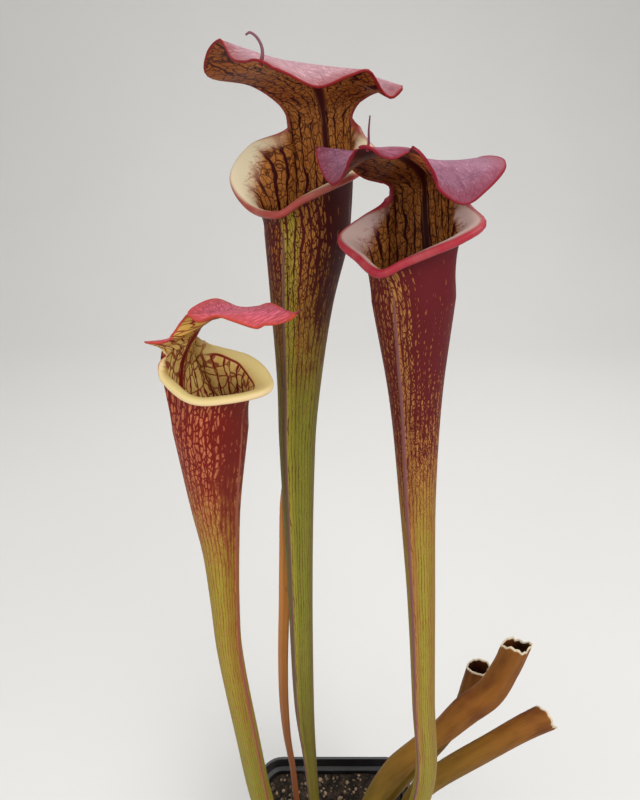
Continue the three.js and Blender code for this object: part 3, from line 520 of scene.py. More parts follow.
def roll_edge(bm, rows):
    """The margin all round rolled outwards, tightly at the mouth and slightly at the lid."""
    front = MOUTH_STEPS // 2
    loop = edge_loop(bm, rows[-1][front], rows[-1][front + 1])
    bm.normal_update()
    places = np.array([v.co for v in loop])
    over = np.array([v.normal for v in loop])
    ahead = unit(np.cross(over, np.roll(places, -1, 0) - np.roll(places, 1, 0)))
    s = lengths_along(np.concatenate([places, places[:1]]))
    right, left = (
        s[int(np.argmin(np.linalg.norm(places - rows[-1][column], axis=1)))]
        for column in (MOUTH_STEPS, 0)
    )
    past = np.where(s[:-1] < (right + left) / 2, s[:-1] - right, left - s[:-1])
    lid = ease(*ROLL_CHANGE, past)
    radius, turn = (a + (b - a) * lid for a, b in zip(MOUTH_ROLL, LID_ROLL))
    turn = np.radians(turn)
    margin = bm.verts.layers.float["margin"]
    current = loop
    for share in shares(ROLL_ROWS)[1:]:
        pairs = zip(current, current[1:] + current[:1])
        made = bmesh.ops.extrude_edge_only(bm, edges=[bm.edges.get(pair) for pair in pairs])
        new = {g for g in made["geom"] if isinstance(g, bmesh.types.BMVert)}
        current = [joined_to(vertex, new) for vertex in current]
        turned = turn * share
        rolled = places + over * (radius * (1 - np.cos(turned)))[:, None]
        rolled += ahead * (radius * np.sin(turned))[:, None]
        for vertex, place, distance in zip(current, rolled, radius * turned):
            vertex.co = place
            vertex[margin] = -distance
    put_in_order(bm)


def put_in_order(bm):
    """Everything sorted by place, because the extrusion adds its parts in no fixed order."""
    def rank(place):
        return place[0] + 1e3 * place[1] + 1e6 * place[2]

    bm.verts.sort(key=lambda vertex: rank(vertex.co))
    bm.edges.sort(key=lambda edge: rank(edge.verts[0].co + edge.verts[1].co))
    bm.faces.sort(key=lambda face: rank(face.calc_center_median()))


def make_object(bm, name, materials, wall=0):
    """The finished mesh in metres as an object at the origin, with its wall where it has one."""
    bmesh.ops.scale(bm, vec=(MM,) * 3, verts=bm.verts)
    for face in bm.faces:
        face.smooth = True
    mesh = bpy.data.meshes.new(name)
    bm.to_mesh(mesh)
    bm.free()
    for material in materials:
        mesh.materials.append(material)
    made = bpy.data.objects.new(name, mesh)
    bpy.context.scene.collection.objects.link(made)
    if wall:
        thick = made.modifiers.new("Wall", "SOLIDIFY")
        thick.thickness = wall
        thick.offset = 0
        thick.material_offset = len(materials) - 1
    return made


def stands_for(made, node):
    """The object rides with the plant and stands in for a CAD node, if it has one."""
    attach(made, "root")
    if node:
        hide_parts(node)


def pitcher_object(name, pitcher, materials, wall):
    rows, lid, *measures = pitcher_surface(pitcher)
    on_rings, on_lid = carried_by(rows, lid, *measures)
    bm = bmesh.new()
    add_grid(bm, rows, on_rings)
    add_grid(bm, lid, on_lid)
    weld(bm)
    roll_edge(bm, rows)
    stands_for(make_object(bm, name, materials, wall), name)


# Depth of a bump map where its height is 1, in metres, on leaves and plastic.
SKIN_DEPTH = 0.0003


class Value:
    """One socket of a material's tree, with arithmetic written as in a formula."""

    def __init__(self, tree, socket):
        self.tree = tree
        self.socket = socket

    def put_into(self, target):
        self.tree.links.new(self.socket, target)

    def maths(self, operation, *values):
        made = self.tree.nodes.new("ShaderNodeMath")
        made.operation = operation
        for target, value in zip(made.inputs, values):
            feed(target, value)
        return Value(self.tree, made.outputs[0])

    def __add__(self, other):
        return self.maths("ADD", self, other)

    def __radd__(self, other):
        return self.maths("ADD", other, self)

    def __sub__(self, other):
        return self.maths("SUBTRACT", self, other)

    def __rsub__(self, other):
        return self.maths("SUBTRACT", other, self)

    def __mul__(self, other):
        return self.maths("MULTIPLY", self, other)

    def __rmul__(self, other):
        return self.maths("MULTIPLY", other, self)

    def __truediv__(self, other):
        return self.maths("DIVIDE", self, other)

    def __abs__(self):
        return self.maths("ABSOLUTE", self)


def feed(target, value):
    """A socket gets a link from a value, or else the number, colour or vector itself."""
    if isinstance(value, Value):
        value.put_into(target)
    elif hasattr(value, "__len__") and len(value) == 3 and target.type == "RGBA":
        target.default_value = (*value, 1)
    else:
        target.default_value = value


class Finish:
    """A material in the making: its tree, its surface and one method for every kind of node."""

    def __init__(self, name, shine=0.2, coat=0.0):
        self.material = bpy.data.materials.new(name)
        self.material.use_nodes = True
        self.tree = self.material.node_tree
        self.surface = self.tree.nodes["Principled BSDF"]
        feed(self.surface.inputs["Specular IOR Level"], shine)
        feed(self.surface.inputs["Coat Weight"], coat)
        feed(self.surface.inputs["Coat Roughness"], 0.3)

    def node(self, kind, inputs=None, output=0, **settings):
        made = self.tree.nodes.new("ShaderNode" + kind)
        for key, value in settings.items():
            setattr(made, key, value)
        for key, value in (inputs or {}).items():
            feed(made.inputs[key], value)
        return Value(self.tree, made.outputs[output])

    def place(self):
        return self.node("TexCoord", output="Object")

    def carried(self, name, output="Vector"):
        return self.node("Attribute", attribute_name=name, output=output)

    def parts(self, vector):
        split = self.node("SeparateXYZ", {0: vector})
        return [Value(self.tree, socket) for socket in split.socket.node.outputs]

    def mix(self, share, a, b, **settings):
        return self.node("Mix", {0: share, 6: a, 7: b}, output=2, data_type="RGBA", **settings)

    def multiply(self, share, a, b):
        return self.mix(share, a, b, blend_type="MULTIPLY")

    def vector(self, operation, a, b):
        return self.node("VectorMath", {0: a, 1: b}, operation=operation)

    def step(self, value, start, end):
        """0 before start, 1 past end and smooth between; start may be the larger."""
        falling = int(start > end)
        ends = {1: min(start, end), 2: max(start, end), 3: falling, 4: 1 - falling}
        return self.node("MapRange", {0: value, **ends}, interpolation_type="SMOOTHSTEP")

    def speckle(self, vector, scale, detail=2.0, rough=0.5, output=0):
        inputs = {"Vector": vector, "Scale": scale, "Detail": detail, "Roughness": rough}
        return self.node("TexNoise", inputs, output)

    def warped(self, vector, scale, amount):
        wobble = self.vector("SUBTRACT", self.speckle(vector, scale, output=1), (0.5, 0.5, 0.5))
        moved = self.node("VectorMath", {0: wobble, "Scale": amount}, operation="SCALE")
        return self.vector("ADD", vector, moved)

    def cell_edge(self, vector, scale):
        inputs = {"Vector": vector, "Scale": scale}
        return self.node("TexVoronoi", inputs, feature="DISTANCE_TO_EDGE")

    def done(self, colour, roughness, height, distance):
        colour.put_into(self.surface.inputs["Base Color"])
        feed(self.surface.inputs["Roughness"], roughness)
        bump = self.node("Bump", {"Strength": 1.0, "Distance": distance, "Height": height})
        bump.put_into(self.surface.inputs["Normal"])
        return self.material


def larger(a, b):
    return a.maths("MAXIMUM", a, b)


def srgb(code):
    """A colour written as six digits, as the light that it stands for."""
    parts = [int(code[k : k + 2], 16) / 255 for k in (0, 2, 4)]
    return tuple(c / 12.92 if c <= 0.04045 else ((c + 0.055) / 1.055) ** 2.4 for c in parts)


# Colours of the pitchers' skins: where each lies, and its codes on the tall, the front and the
# short pitcher.
LOOKS = {
    "inside": ("inside near the mouth", "c67e3a ba7434 eccc7c"),
    "inside_deep": ("inside further down", "9a662a 8e5624 dcae5c"),
    "vein": ("veins on the inside", "3c0506 340405 821a1c"),
    "lid_under": ("underside of the lid towards its edge", "96501c 803e18 d0a04a"),
    "flare": ("pale flared side of the mouth", "e6d6b2 ccaea4 dcc684"),
    "flare_vein": ("last veins on the flared side", "a8504e 8c3a42 8c3a24"),
    "lip": ("rolled lip", "a04238 a42634 e6cc98"),
    "edge": ("edge of lid and lip", "841c1e 861a28 b84434"),
    "lid_top": ("top of the lid", "b88e92 9e6c80 da687a"),
    "lid_net": ("fine net on the lid's top", "7a4a56 642e42 7c1830"),
    "outside": ("outside at the top", "b27430 c48444 c8724a"),
    "outside_low": ("outside low down", "86842a 9e9232 a08e30"),
    "outside_vein": ("veins on the outside", "4a0a06 560f0c 701208"),
    "low_vein": ("lines on the outside low down", "5a3a16 7e3c12 864212"),
    "flush": ("flushed part of the outside", "380a08 5e141b 64180e"),
    "blush": ("paler strip beside the wing", "a49a36 a8743a c08a4c"),
    "base": ("outside towards the foot", "5e561e 8e8c2e 768426"),
    "wing": ("wing down the front", "745048 7c4c4c 8c4a3a"),
}

# How a pitcher's colours lie. "net" gives the heights in metres between which the lengthwise
# lines low on the tube turn into a net. The deep maroon colouring, which on the tall pitcher's
# right side also stands in for painted shade, lies round the direction "round", in degrees from
# the front, grows between the heights "flushed", and "spread" widens it; the low tube
# also gets painted shade towards "round". "swell" widens the net's veins all round, and "left"
# is how far the left half takes on their colour as painted shade. "lip" gives how far in from
# the edge, in millimetres, the lip's colour begins at the front and at the sides. "cells" and
# "outer_cells" multiply the net's cells inside and outside, round the wall and lengthwise.
# "branches" is the strength of the finest veins inside, and "arc" the distance from the edge of
# the vein that runs along the mouth, or 0.
HABITS = {
    "pitcher_tall": {
        "net": (0.51, 0.59), "round": 115, "flushed": (0.53, 0.6), "spread": 0.1, "swell": 0.015,
        "lip": (0.6, -0.5), "cells": (1.25, 1.35), "branches": 0.5, "arc": 0, "left": 0.3,
        "outer_cells": (2.2, 1.45),
    },
    "pitcher_front": {
        "net": (0.46, 0.54), "round": 100, "flushed": (0.51, 0.61), "spread": 0.4, "swell": 0.03,
        "lip": (0.9, 0.3), "cells": (1.25, 1.35), "branches": 0.5, "arc": 0, "left": 0.3,
        "outer_cells": (2.2, 1.45),
    },
    "pitcher_short": {
        "net": (0.44, 0.52), "round": 0, "flushed": (0.42, 0.5), "spread": -0.25, "swell": -0.025,
        "lip": (-0.6, -1.0), "cells": (0.52, 0.7), "branches": 0.15, "arc": 7.5, "left": 0.0,
        "outer_cells": (1.5, 1.05),
    },
}


def vein_patterns(finish, width, swell, fineness, ribs):
    """Masks of the vein net, its finer branches and the lengthwise veins, from 0 to 1.

    Where swell is above 0 the veins widen until only specks are left between them. Fineness
    multiplies the cells round the wall and lengthwise, and ribs is the number of lengthwise
    veins round the tube, which is doubled on the lid.
    """
    carried = finish.carried("net")
    round_it, lengthwise = fineness
    net = finish.vector("MULTIPLY", carried, (round_it, round_it, lengthwise))
    cosine, sine, lid = finish.parts(finish.carried("ray"))
    warped = finish.warped(net, 0.55, 1.3)
    cells = finish.step(finish.cell_edge(warped, 1.0) - swell, width, width * 0.3)
    branches = finish.step(finish.cell_edge(warped, 2.1) - swell, width * 0.9, width * 0.2)
    angle = sine.maths("ARCTAN2", sine, cosine)
    wobble = (finish.speckle(carried, 0.16) - 0.5) * 1.4
    wobble = wobble + (finish.speckle(carried, 0.7) - 0.5) * 0.8
    turns = angle * (ribs / (2 * math.pi)) + wobble
    off_line = abs(turns.maths("FRACT", turns) - 0.5)
    doubled = turns * 2 + 0.5
    off_fork = abs(doubled.maths("FRACT", doubled) - 0.5)
    swell = swell + (finish.speckle(carried, 0.4) - 0.5) * 0.35
    lines = finish.step(off_line - swell, 0.16, 0.05)
    forks = finish.step(off_fork - swell, 0.14, 0.05) * finish.step(lid, 0.1, 0.5)
    lines = larger(lines * finish.step(lid, 0.7, 0.2), forks)
    midrib = finish.step(cosine, -0.991, -0.999)
    return {"cells": cells, "branches": branches, "lines": lines, "midrib": midrib}


def inside_finish(name, look, habit):
    """Skin of the tube's and lid's inner side: gold with a dark net, pale on the flared mouth."""
    finish = Finish(name + "_inside", shine=0.12)
    margin = finish.carried("margin", "Fac")
    net = finish.carried("net")
    cosine, sine, lid = finish.parts(finish.carried("ray"))
    mottle = finish.speckle(net, 0.5, 3.0)
    sideways = sine * sine
    if habit["arc"]:
        reach = (finish.step(cosine, -0.4, 0.8) * 0.6 + 0.4) * habit["arc"]
    else:
        reach = sideways * finish.step(cosine, -0.5, 0.0) * 8 + 4
    mouth = finish.step(cosine, -0.62, -0.3)
    into = (margin + (mottle - 0.5) * 5) / reach
    pale = finish.step(into, 1.25, 0.5) * mouth
    v = vein_patterns(finish, 0.09, pale * -0.02, habit["cells"], VEINS_INSIDE)
    ground = finish.mix(finish.step(margin, 22, 80), look.inside, look.inside_deep)
    ground = finish.multiply(finish.step(mottle, 0.35, 0.7) * 0.35, ground, look.lid_under)
    on_lid = finish.step(lid, 0.1, 0.8) * finish.step(margin + (mottle - 0.5) * 14, 26, 6)
    ground = finish.mix(on_lid * 0.9, ground, look.lid_under)
    ground = finish.mix(pale, ground, look.flare)
    fine = larger(v["cells"] * 0.85, v["branches"] * habit["branches"])
    veins = larger(fine, larger(v["lines"] * (1 - pale * 0.5), v["midrib"]))
    if habit["arc"]:
        beside = margin + (finish.speckle(net, 0.15) - 0.5) * 4 - reach
        arc = finish.step(abs(beside), 0.75, 0.25)
        veins = larger(veins * (1 - finish.step(beside, 0.3, -0.3) * mouth), arc * mouth)
    else:
        broken = into + (finish.speckle(net, 1.6, 1.0) - 0.5) * 1.2
        dots = finish.step(finish.speckle(net, 2.6, 1.0), 0.58, 0.68)
        dots = dots * finish.step(into, 0.3, 0.7) * 0.6
        veins = larger(veins * (1 - finish.step(broken, 1.0, 0.4) * mouth), dots * pale)
    tone = finish.mix(pale, look.vein, look.flare_vein)
    colour = finish.mix(veins, ground, tone)
    starts = sideways * (habit["lip"][1] - habit["lip"][0]) + habit["lip"][0]
    lip_tone = finish.step(margin - starts, 0.6, -1.0) * (1 - lid)
    # Painted sheen: pale patches of the flare's colour on the lip stand in for its glossy
    # highlights.
    lip = finish.mix(finish.step(mottle, 0.4, 0.75) * 0.1, look.lip, look.flare)
    colour = finish.mix(lip_tone, colour, lip)
    rim = finish.step(margin, 0.3, -0.4) * lid
    colour = finish.mix(rim, colour, look.edge)
    colour = finish.mix(finish.step(margin, -1.8, -3.4) * 0.9, colour, look.edge)
    glossy = lip_tone * 0.35
    glossy.put_into(finish.surface.inputs["Coat Weight"])
    grain = finish.speckle(finish.place(), 900, 3.0)
    return finish.done(colour, 0.5 + grain * 0.15, grain * 0.3 - veins * 0.5, SKIN_DEPTH)


def outside_finish(name, look, habit):
    """Skin of the tube's outer side and the lid's top."""
    finish = Finish(name + "_outside", shine=0.15, coat=0.03)
    margin = finish.carried("margin", "Fac")
    net = finish.carried("net")
    cosine, sine, lid = finish.parts(finish.carried("ray"))
    place = finish.place()
    _, _, height = finish.parts(place)
    mottle = finish.speckle(net, 0.6, 3.0)
    patchy = height + (mottle - 0.5) * 0.06
    upper = finish.step(patchy, *habit["net"])
    high = finish.step(patchy, *habit["flushed"])

    def towards(turn):
        return cosine * math.cos(math.radians(turn)) + sine * math.sin(math.radians(turn))

    # Deep maroon colouring round "round": a real colouring of the skin, which on the tall pitcher's
    # right side also stands in for painted shade.
    reach = towards(habit["round"]) + (mottle - 0.5) * 0.6 + habit["spread"]
    flushed = finish.step(reach, 0.25, 1.05) * high
    # Left half of the tube: painted shade there, by darkening towards the vein colour as the habit
    # "left" sets; the same mask also widens the veins there.
    left = finish.step(sine + (mottle - 0.5) * 0.1, 0.0, -0.2)
    strip = finish.step(towards(9), 0.962, 0.99) * (1 - left)
    swell = flushed * 0.27 + upper * habit["swell"] + left * upper * 0.07 - strip * 0.03
    v = vein_patterns(finish, 0.115, swell, habit["outer_cells"], VEINS_OUTSIDE)
    ground = finish.mix(upper, look.outside_low, look.outside)
    ground = finish.mix(strip * 0.8, ground, look.blush)
    ground = finish.multiply(finish.step(mottle, 0.4, 0.75) * 0.3 * upper, ground, look.outside)
    # Painted shade: the left half darkened towards the vein colour.
    ground = finish.mix(left * habit["left"], ground, look.outside_vein)
    ground = finish.mix(flushed * 0.5, ground, look.flush)
    # Painted shade: the low tube darkened towards the direction "round".
    edge_shade = finish.step(towards(habit["round"]), 0.6, 0.98)
    ground = finish.mix(edge_shade * (1 - upper) * 0.4, ground, look.low_vein)
    ground = finish.mix(finish.step(patchy, 0.4, 0.24) * 0.7, ground, look.base)
    cells = larger(v["cells"], v["branches"] * 0.45) * (upper * 0.7 + 0.3)
    veins = larger(cells, v["lines"] * (upper * 0.15 + 0.85))
    thin = finish.mix(upper, look.low_vein, look.outside_vein)
    colour = finish.mix(veins, ground, finish.mix(flushed, thin, look.flush))
    colour = finish.mix(finish.step(finish.carried("wing", "Fac"), 0.6, 0.95), colour, look.wing)
    warped = finish.warped(net, 0.8, 0.8)
    fine = finish.step(finish.cell_edge(warped, 2.3), 0.16, 0.03)
    broad = finish.step(finish.cell_edge(warped, 0.9), 0.1, 0.02)
    netted = larger(fine * 0.6, larger(broad * 0.65, v["lines"] * 0.35))
    netted = netted * (finish.step(mottle, 0.2, 0.6) * 0.4 + 0.6)
    top = finish.mix(netted, look.lid_top, look.lid_net)
    top = finish.mix(finish.step(margin, 6.5, 0.3) * 0.45, top, look.edge)
    colour = finish.mix(finish.step(lid + (mottle - 0.5) * 0.3, 0.35, 0.8), colour, top)
    colour = finish.mix(finish.step(margin, 0.1, -0.6), colour, look.edge)
    grain = finish.speckle(place, 1100, 3.0)
    return finish.done(colour, 0.5 + grain * 0.2, grain * 0.35 + veins * 0.3, SKIN_DEPTH)


def dry_finish(name, foot, young, old, pale, end):
    """Skin of a leaf that has dried: greener at its foot, streaked, pale at its torn end."""
    finish = Finish(name, shine=0.15)
    net = finish.carried("net")
    _, _, along = finish.parts(net)
    stretched = finish.vector("MULTIPLY", net, (1, 1, 0.12))
    streaks = finish.speckle(stretched, 2.2, 4.0, 0.65)
    patches = finish.speckle(net, 0.12, 3.0)
    colour = finish.mix(finish.step(patches + (streaks - 0.5) * 0.2, 0.35, 0.75), young, old)
    greener = finish.step(along + (patches - 0.5) * 12, 50, 16)
    colour = finish.mix(greener * 0.6, colour, foot)
    colour = finish.multiply(finish.step(streaks, 0.5, 0.8) * 0.2, colour, old)
    tip = finish.step(along + (streaks - 0.5) * 0.5, end - 0.35, end - 0.1)
    colour = finish.mix(tip, colour, pale)
    return finish.done(colour, 0.5 + streaks * 0.25, streaks, SKIN_DEPTH)


def blade_finish(name, upper, lower):
    """Skin of the narrow leaf: orange with fine lengthwise ribs, browner towards the foot."""
    finish = Finish(name, shine=0.3)
    _, _, height = finish.parts(finish.place())
    net = finish.carried("net")
    stretched = finish.vector("MULTIPLY", net, (1, 1, 0.05))
    streaks = finish.speckle(stretched, 3.0, 3.0, 0.6)
    share = finish.step(height + (streaks - 0.5) * 0.1, 0.2, 0.42)
    colour = finish.mix(share, lower, upper)
    colour = finish.multiply(finish.step(streaks, 0.5, 0.75) * 0.45, colour, lower)
    blotch = finish.step(finish.speckle(finish.place(), 55, 3.0), 0.6, 0.72)
    colour = finish.mix(blotch * 0.35, colour, lower)
    return finish.done(colour, 0.42 + streaks * 0.2, streaks, 0.0004)


def bark_finish(name, light, dark):
    """Scaly brown skin of the rootstock."""
    finish = Finish(name)
    place = finish.place()
    coarse = finish.speckle(place, 130, 5.0, 0.65)
    fine = finish.speckle(place, 700, 3.0)
    plates = finish.step(finish.cell_edge(finish.warped(place, 90, 0.006), 190), 0.02, 0.14)
    colour = finish.mix(finish.step(coarse, 0.35, 0.68), dark, light)
    colour = finish.multiply((1 - plates) * 0.6, colour, dark)
    return finish.done(colour, 0.7 + fine * 0.25, coarse * 0.7 + plates * 0.3, 0.0009)


def soil_finish(name, dark, brown):
    finish = Finish(name)
    place = finish.place()
    lumps = finish.speckle(place, 160, 6.0, 0.7)
    crumbs = finish.cell_edge(finish.warped(place, 300, 0.002), 520)
    colour = finish.mix(finish.step(lumps, 0.38, 0.66), dark, brown)
    colour = finish.multiply(finish.step(crumbs, 0.16, 0.02) * 0.7, colour, dark)
    return finish.done(colour, 0.75 + lumps * 0.25, lumps + crumbs * 0.8, 0.0012)


def grain_finish(name, tan, dark):
    """Skin of the grains in the soil; each carries a tone of its own from 0 to 1."""
    finish = Finish(name)
    place = finish.place()
    tone = finish.carried("tone", "Fac")
    pits = finish.speckle(place, 620, 4.0, 0.6)
    colour = finish.mix(finish.step(tone + (pits - 0.5) * 0.5, 0.2, 0.85), dark, tan)
    return finish.done(colour, 0.65 + pits * 0.3, pits, 0.0005)


def plastic_finish(name, plastic, dust):
    """Thin moulded plastic: satin, faintly scratched, dusty towards the foot."""
    finish = Finish(name, shine=0.5, coat=0.15)
    place = finish.place()
    _, _, height = finish.parts(place)
    cloud = finish.speckle(place, 35, 4.0, 0.6)
    stretched = finish.vector("MULTIPLY", place, (1, 1, 12))
    scratches = finish.speckle(stretched, 160, 2.0)
    grain = finish.speckle(place, 1600, 2.0)
    dusty = finish.step(cloud + finish.step(height, 0.05, 0.0) * 0.25, 0.5, 0.85)
    colour = finish.mix(dusty * 0.4 + finish.step(scratches, 0.62, 0.75) * 0.06, plastic, dust)
    roughness = 0.36 + dusty * 0.3 + scratches * 0.1
    return finish.done(colour, roughness, grain * 0.5 + cloud, SKIN_DEPTH)


def hair_finish(name, foot, tip):
    finish = Finish(name, shine=0.3)
    _, _, along = finish.parts(finish.carried("net"))
    fuzz = finish.speckle(finish.place(), 900, 2.0)
    colour = finish.mix(finish.step(along + fuzz * 0.5, 0.1, 1.2), foot, tip)
    return finish.done(colour, 0.5, fuzz, 0.0002)


# ---- pieces


def round_tube(share, turn):
    """Radius of a plain tube, as a share of its route's."""
    return 1


def tube_rows(route, rows, sides, radius_share=round_tube, front=(0, 0, 1)):
    """Rings round a route, closed by their last point, what they carry, and their directions."""
    share = shares(rows)
    centres, radii, tangents = along_route(route, share)
    angles = 360 * shares(sides)
    turn = np.radians(angles)[None] + 0 * share[:, None]
    grown = radii[:, None] * radius_share(share[:, None], turn) + 0 * turn
    fronts = np.repeat(np.array([front], float), len(share), 0)
    rings = rings_across(centres, tangents, fronts, angles, grown)
    rings[:, -1] = rings[:, 0]
    along = lengths_along(centres)[:, None] / CELL_LENGTH + 0 * turn
    return rings, {"net": net_places(NET_RADIUS, turn, along)}, tangents


def at_end(route):
    """How far along its net a tube's end lies."""
    return float(lengths_along(np.array(route, float)[:, :3])[-1] / CELL_LENGTH)


def close_ends(bm):
    """Each open edge gets a face, and the whole shell then faces outwards."""
    weld(bm)
    bmesh.ops.holes_fill(bm, edges=[e for e in bm.edges if e.is_boundary], sides=0)
    bmesh.ops.recalc_face_normals(bm, faces=bm.faces)


def folded(share, turn):
    """Radius of a dried tube, as a share of its route's: folded lengthwise and wrinkled."""
    squash = OLD_SQUASH * ease(0.1, 0.4, share) * np.cos(2 * turn) - 0.05 * np.cos(3 * turn)
    wrinkles = 0.03 * np.sin(9 * turn + 7 * share) + 0.02 * np.sin(17 * turn - 11 * share)
    return 1 + squash + wrinkles * ease(0.05, 0.5, share)


def old_pitcher_object(name, old, materials, wall):
    """A dried tube with its torn end."""
    rings, carried, tangents = tube_rows(old["route"], OLD_ROWS, OLD_SIDES, folded)
    turn = 2 * math.pi * shares(OLD_SIDES)
    torn = 0.5 * np.sin(turn) + 0.3 * np.sin(3 * turn + 0.7) + 0.12 * np.sin(11 * turn)
    near_end = ease(TORN_FROM, 1, shares(OLD_ROWS))[:, None, None]
    rings += near_end * old["ragged"] * torn[None, :, None] * tangents[-1]
    bm = bmesh.new()
    add_grid(bm, rings, carried)
    weld(bm)
    stands_for(make_object(bm, name, materials, wall), name)


def blade_object(name, blade, materials):
    """The narrow leaf: flat, with a rib down its front and a thinner tip."""
    share = shares(BLADE_ROWS)
    centres, half, tangents = along_route(blade["route"], share)
    ahead, aside = across_route(tangents, front_and_side(blade["facing"], share)[0])
    turn = 2 * math.pi * shares(BLADE_SIDES)
    across, out = np.sin(turn), np.cos(turn)
    rib = BLADE_RIB * np.exp(-((across / BLADE_RIB_WIDTH) ** 2)) * (out > 0)
    thick = (BLADE_THICKNESS / 2 * np.sign(out) * np.abs(out) ** 0.7 + rib)[None, :, None]
    rings = centres[:, None] + aside * across[None, :, None] * half[:, None, None]
    rings = rings + ahead * thick * np.minimum(half / BLADE_THICKNESS, 1)[:, None, None]
    rings[:, -1] = rings[:, 0]
    along = lengths_along(centres)[:, None] / CELL_LENGTH + 0 * turn[None]
    bm = bmesh.new()
    add_grid(bm, rings, {"net": net_places(NET_RADIUS, turn[None] + 0 * along, along)})
    close_ends(bm)
    stands_for(make_object(bm, name, materials), name)


def hair_object(name, pitcher, materials):
    """The thread at the tip of a lid, from the middle of its last cross row."""
    _, lid, *_ = pitcher_surface(pitcher)
    tip = lid[-1][LID_COLUMNS // 2]
    route = [(*(tip + np.array(offset)), radius) for *offset, radius in pitcher["hair"]]
    rings, carried, _ = tube_rows(route, 20, 8, front=(0, -1, 0))
    bm = bmesh.new()
    add_grid(bm, rings, carried)
    close_ends(bm)
    stands_for(make_object(bm, name + "_hair", materials), None)


def knobbly(share, turn):
    """Radius of a creeping stem, as a share of its route's."""
    knobs = KNOB_HEIGHT * np.sin(19 * share + 2 * turn)
    return 1 + knobs + WRINKLE_HEIGHT * np.sin(47 * share - 3 * turn)


def rootstock_object(materials):
    bm = bmesh.new()
    for route in ROOTSTOCK_STEMS:
        rings, carried, _ = tube_rows(route, ROOTSTOCK_ROWS, ROOTSTOCK_SIDES, knobbly)
        add_grid(bm, rings, carried)
    close_ends(bm)
    stands_for(make_object(bm, "rootstock", materials), "rootstock")


def square_ring(half_width, corner, height, corner_steps=8, side_points=0):
    """Rounded square at one height, anticlockwise, closed by its last point."""
    straight = half_width - corner
    points = []
    for side in range(4):
        quarter = Matrix.Rotation(math.radians(90 * side), 2)
        for step in range(corner_steps + 1):
            angle = math.radians(90 * step / corner_steps)
            bend = Vector((math.cos(angle), math.sin(angle))) * corner
            points.append((*(quarter @ (Vector((straight, straight)) + bend)), height))
        for k in range(1, side_points + 1):
            place = Vector((straight - 2 * straight * k / (side_points + 1), half_width))
            points.append((*(quarter @ place), height))
    return np.array(points + points[:1])


def pot_ring(height, inset, side_points=0):
    share = height / POT_HEIGHT
    half = (POT_BASE_WIDTH + (POT_TOP_WIDTH - 2 * POT_BAND_STEP - POT_BASE_WIDTH) * share) / 2
    corner = POT_BASE_CORNER + (POT_TOP_CORNER - POT_BASE_CORNER) * share
    return square_ring(half - inset, corner - inset, height, side_points=side_points)


def pot_object(materials):
    """The moulding: heights and insets from its foot up the outside, over the rim and down."""
    band_foot = POT_HEIGHT - POT_BAND_HEIGHT
    band, lip = -POT_BAND_STEP, -POT_BAND_STEP - POT_LIP
    rows = [
        (0, 1), (1, 0), (band_foot - 1, 0), (band_foot, band + 0.6), (POT_HEIGHT - 2, band),
        (POT_HEIGHT - 1.8, lip), (POT_HEIGHT - 0.4, lip), (POT_HEIGHT, band),
        (POT_HEIGHT, POT_WALL + band), (band_foot + POT_WALL, POT_WALL + band),
        (band_foot + 0.4, POT_WALL), (POT_FLOOR, POT_WALL),
    ]
    bm = bmesh.new()
    add_grid(bm, np.array([pot_ring(*row) for row in rows]))
    close_ends(bm)
    made = make_object(bm, "pot", materials)
    cut_drains(made)
    edges = made.modifiers.new("Soft edges", "BEVEL")
    edges.width = POT_EDGE * MM
    edges.segments = 2
    edges.limit_method = "ANGLE"
    edges.harden_normals = True
    stands_for(made, "pot")


def cut_drains(pot):
    """The holes in the pot's floor, cut with cylinders that are then removed."""
    bm = bmesh.new()
    for k in range(DRAINS):
        reach = DRAIN_DISTANCE * (OUTER_DRAINS if k % 2 else 1)
        turn = 2 * math.pi * k / DRAINS
        place = Matrix.Translation((reach * math.cos(turn), reach * math.sin(turn), POT_FLOOR / 2))
        bmesh.ops.create_cone(
            bm, cap_ends=True, segments=32, radius1=DRAIN_RADIUS, radius2=DRAIN_RADIUS,
            depth=3 * POT_FLOOR, matrix=place,
        )
    cutter = make_object(bm, "drains", [])
    holes = pot.modifiers.new("Drains", "BOOLEAN")
    holes.operation = "DIFFERENCE"
    holes.object = cutter
    bpy.context.view_layer.update()
    shaped = pot.evaluated_get(bpy.context.evaluated_depsgraph_get())
    mesh = bpy.data.meshes.new_from_object(shaped)
    pot.modifiers.clear()
    pot.data = mesh
    bpy.data.objects.remove(cutter)
    mesh.set_sharp_from_angle(angle=math.radians(35))


def soil_bump(x, y):
    broad = math.sin(x / 9 + 1.3 * math.sin(y / 11)) * math.cos(y / 8 - 0.7)
    fine = math.sin(x / 2.9 + y / 4.1) * math.sin(y / 3.3 - x / 5.3)
    return SOIL_RELIEF * (0.6 * broad + 0.4 * fine)


def soil_object(materials):
    heights = (POT_FLOOR + FIT_GAP, SOIL_LEVEL - 1.5, SOIL_LEVEL)
    *rows, outline = (pot_ring(z, POT_WALL + FIT_GAP, SOIL_SIDE_POINTS) for z in heights)
    for share in np.linspace(*SOIL_RINGS):
        ring = outline * (share, share, 1)
        for point in ring:
            crumbs = noise.fractal(Vector(point[:2]).to_3d() * 0.45, 0.8, 2.1, 4)
            point[2] += soil_bump(*point[:2]) + CRUMB_RELIEF * crumbs
        rows.append(ring)
    bm = bmesh.new()
    add_grid(bm, np.array(rows))
    close_ends(bm)
    stands_for(make_object(bm, "soil", materials), "soil")


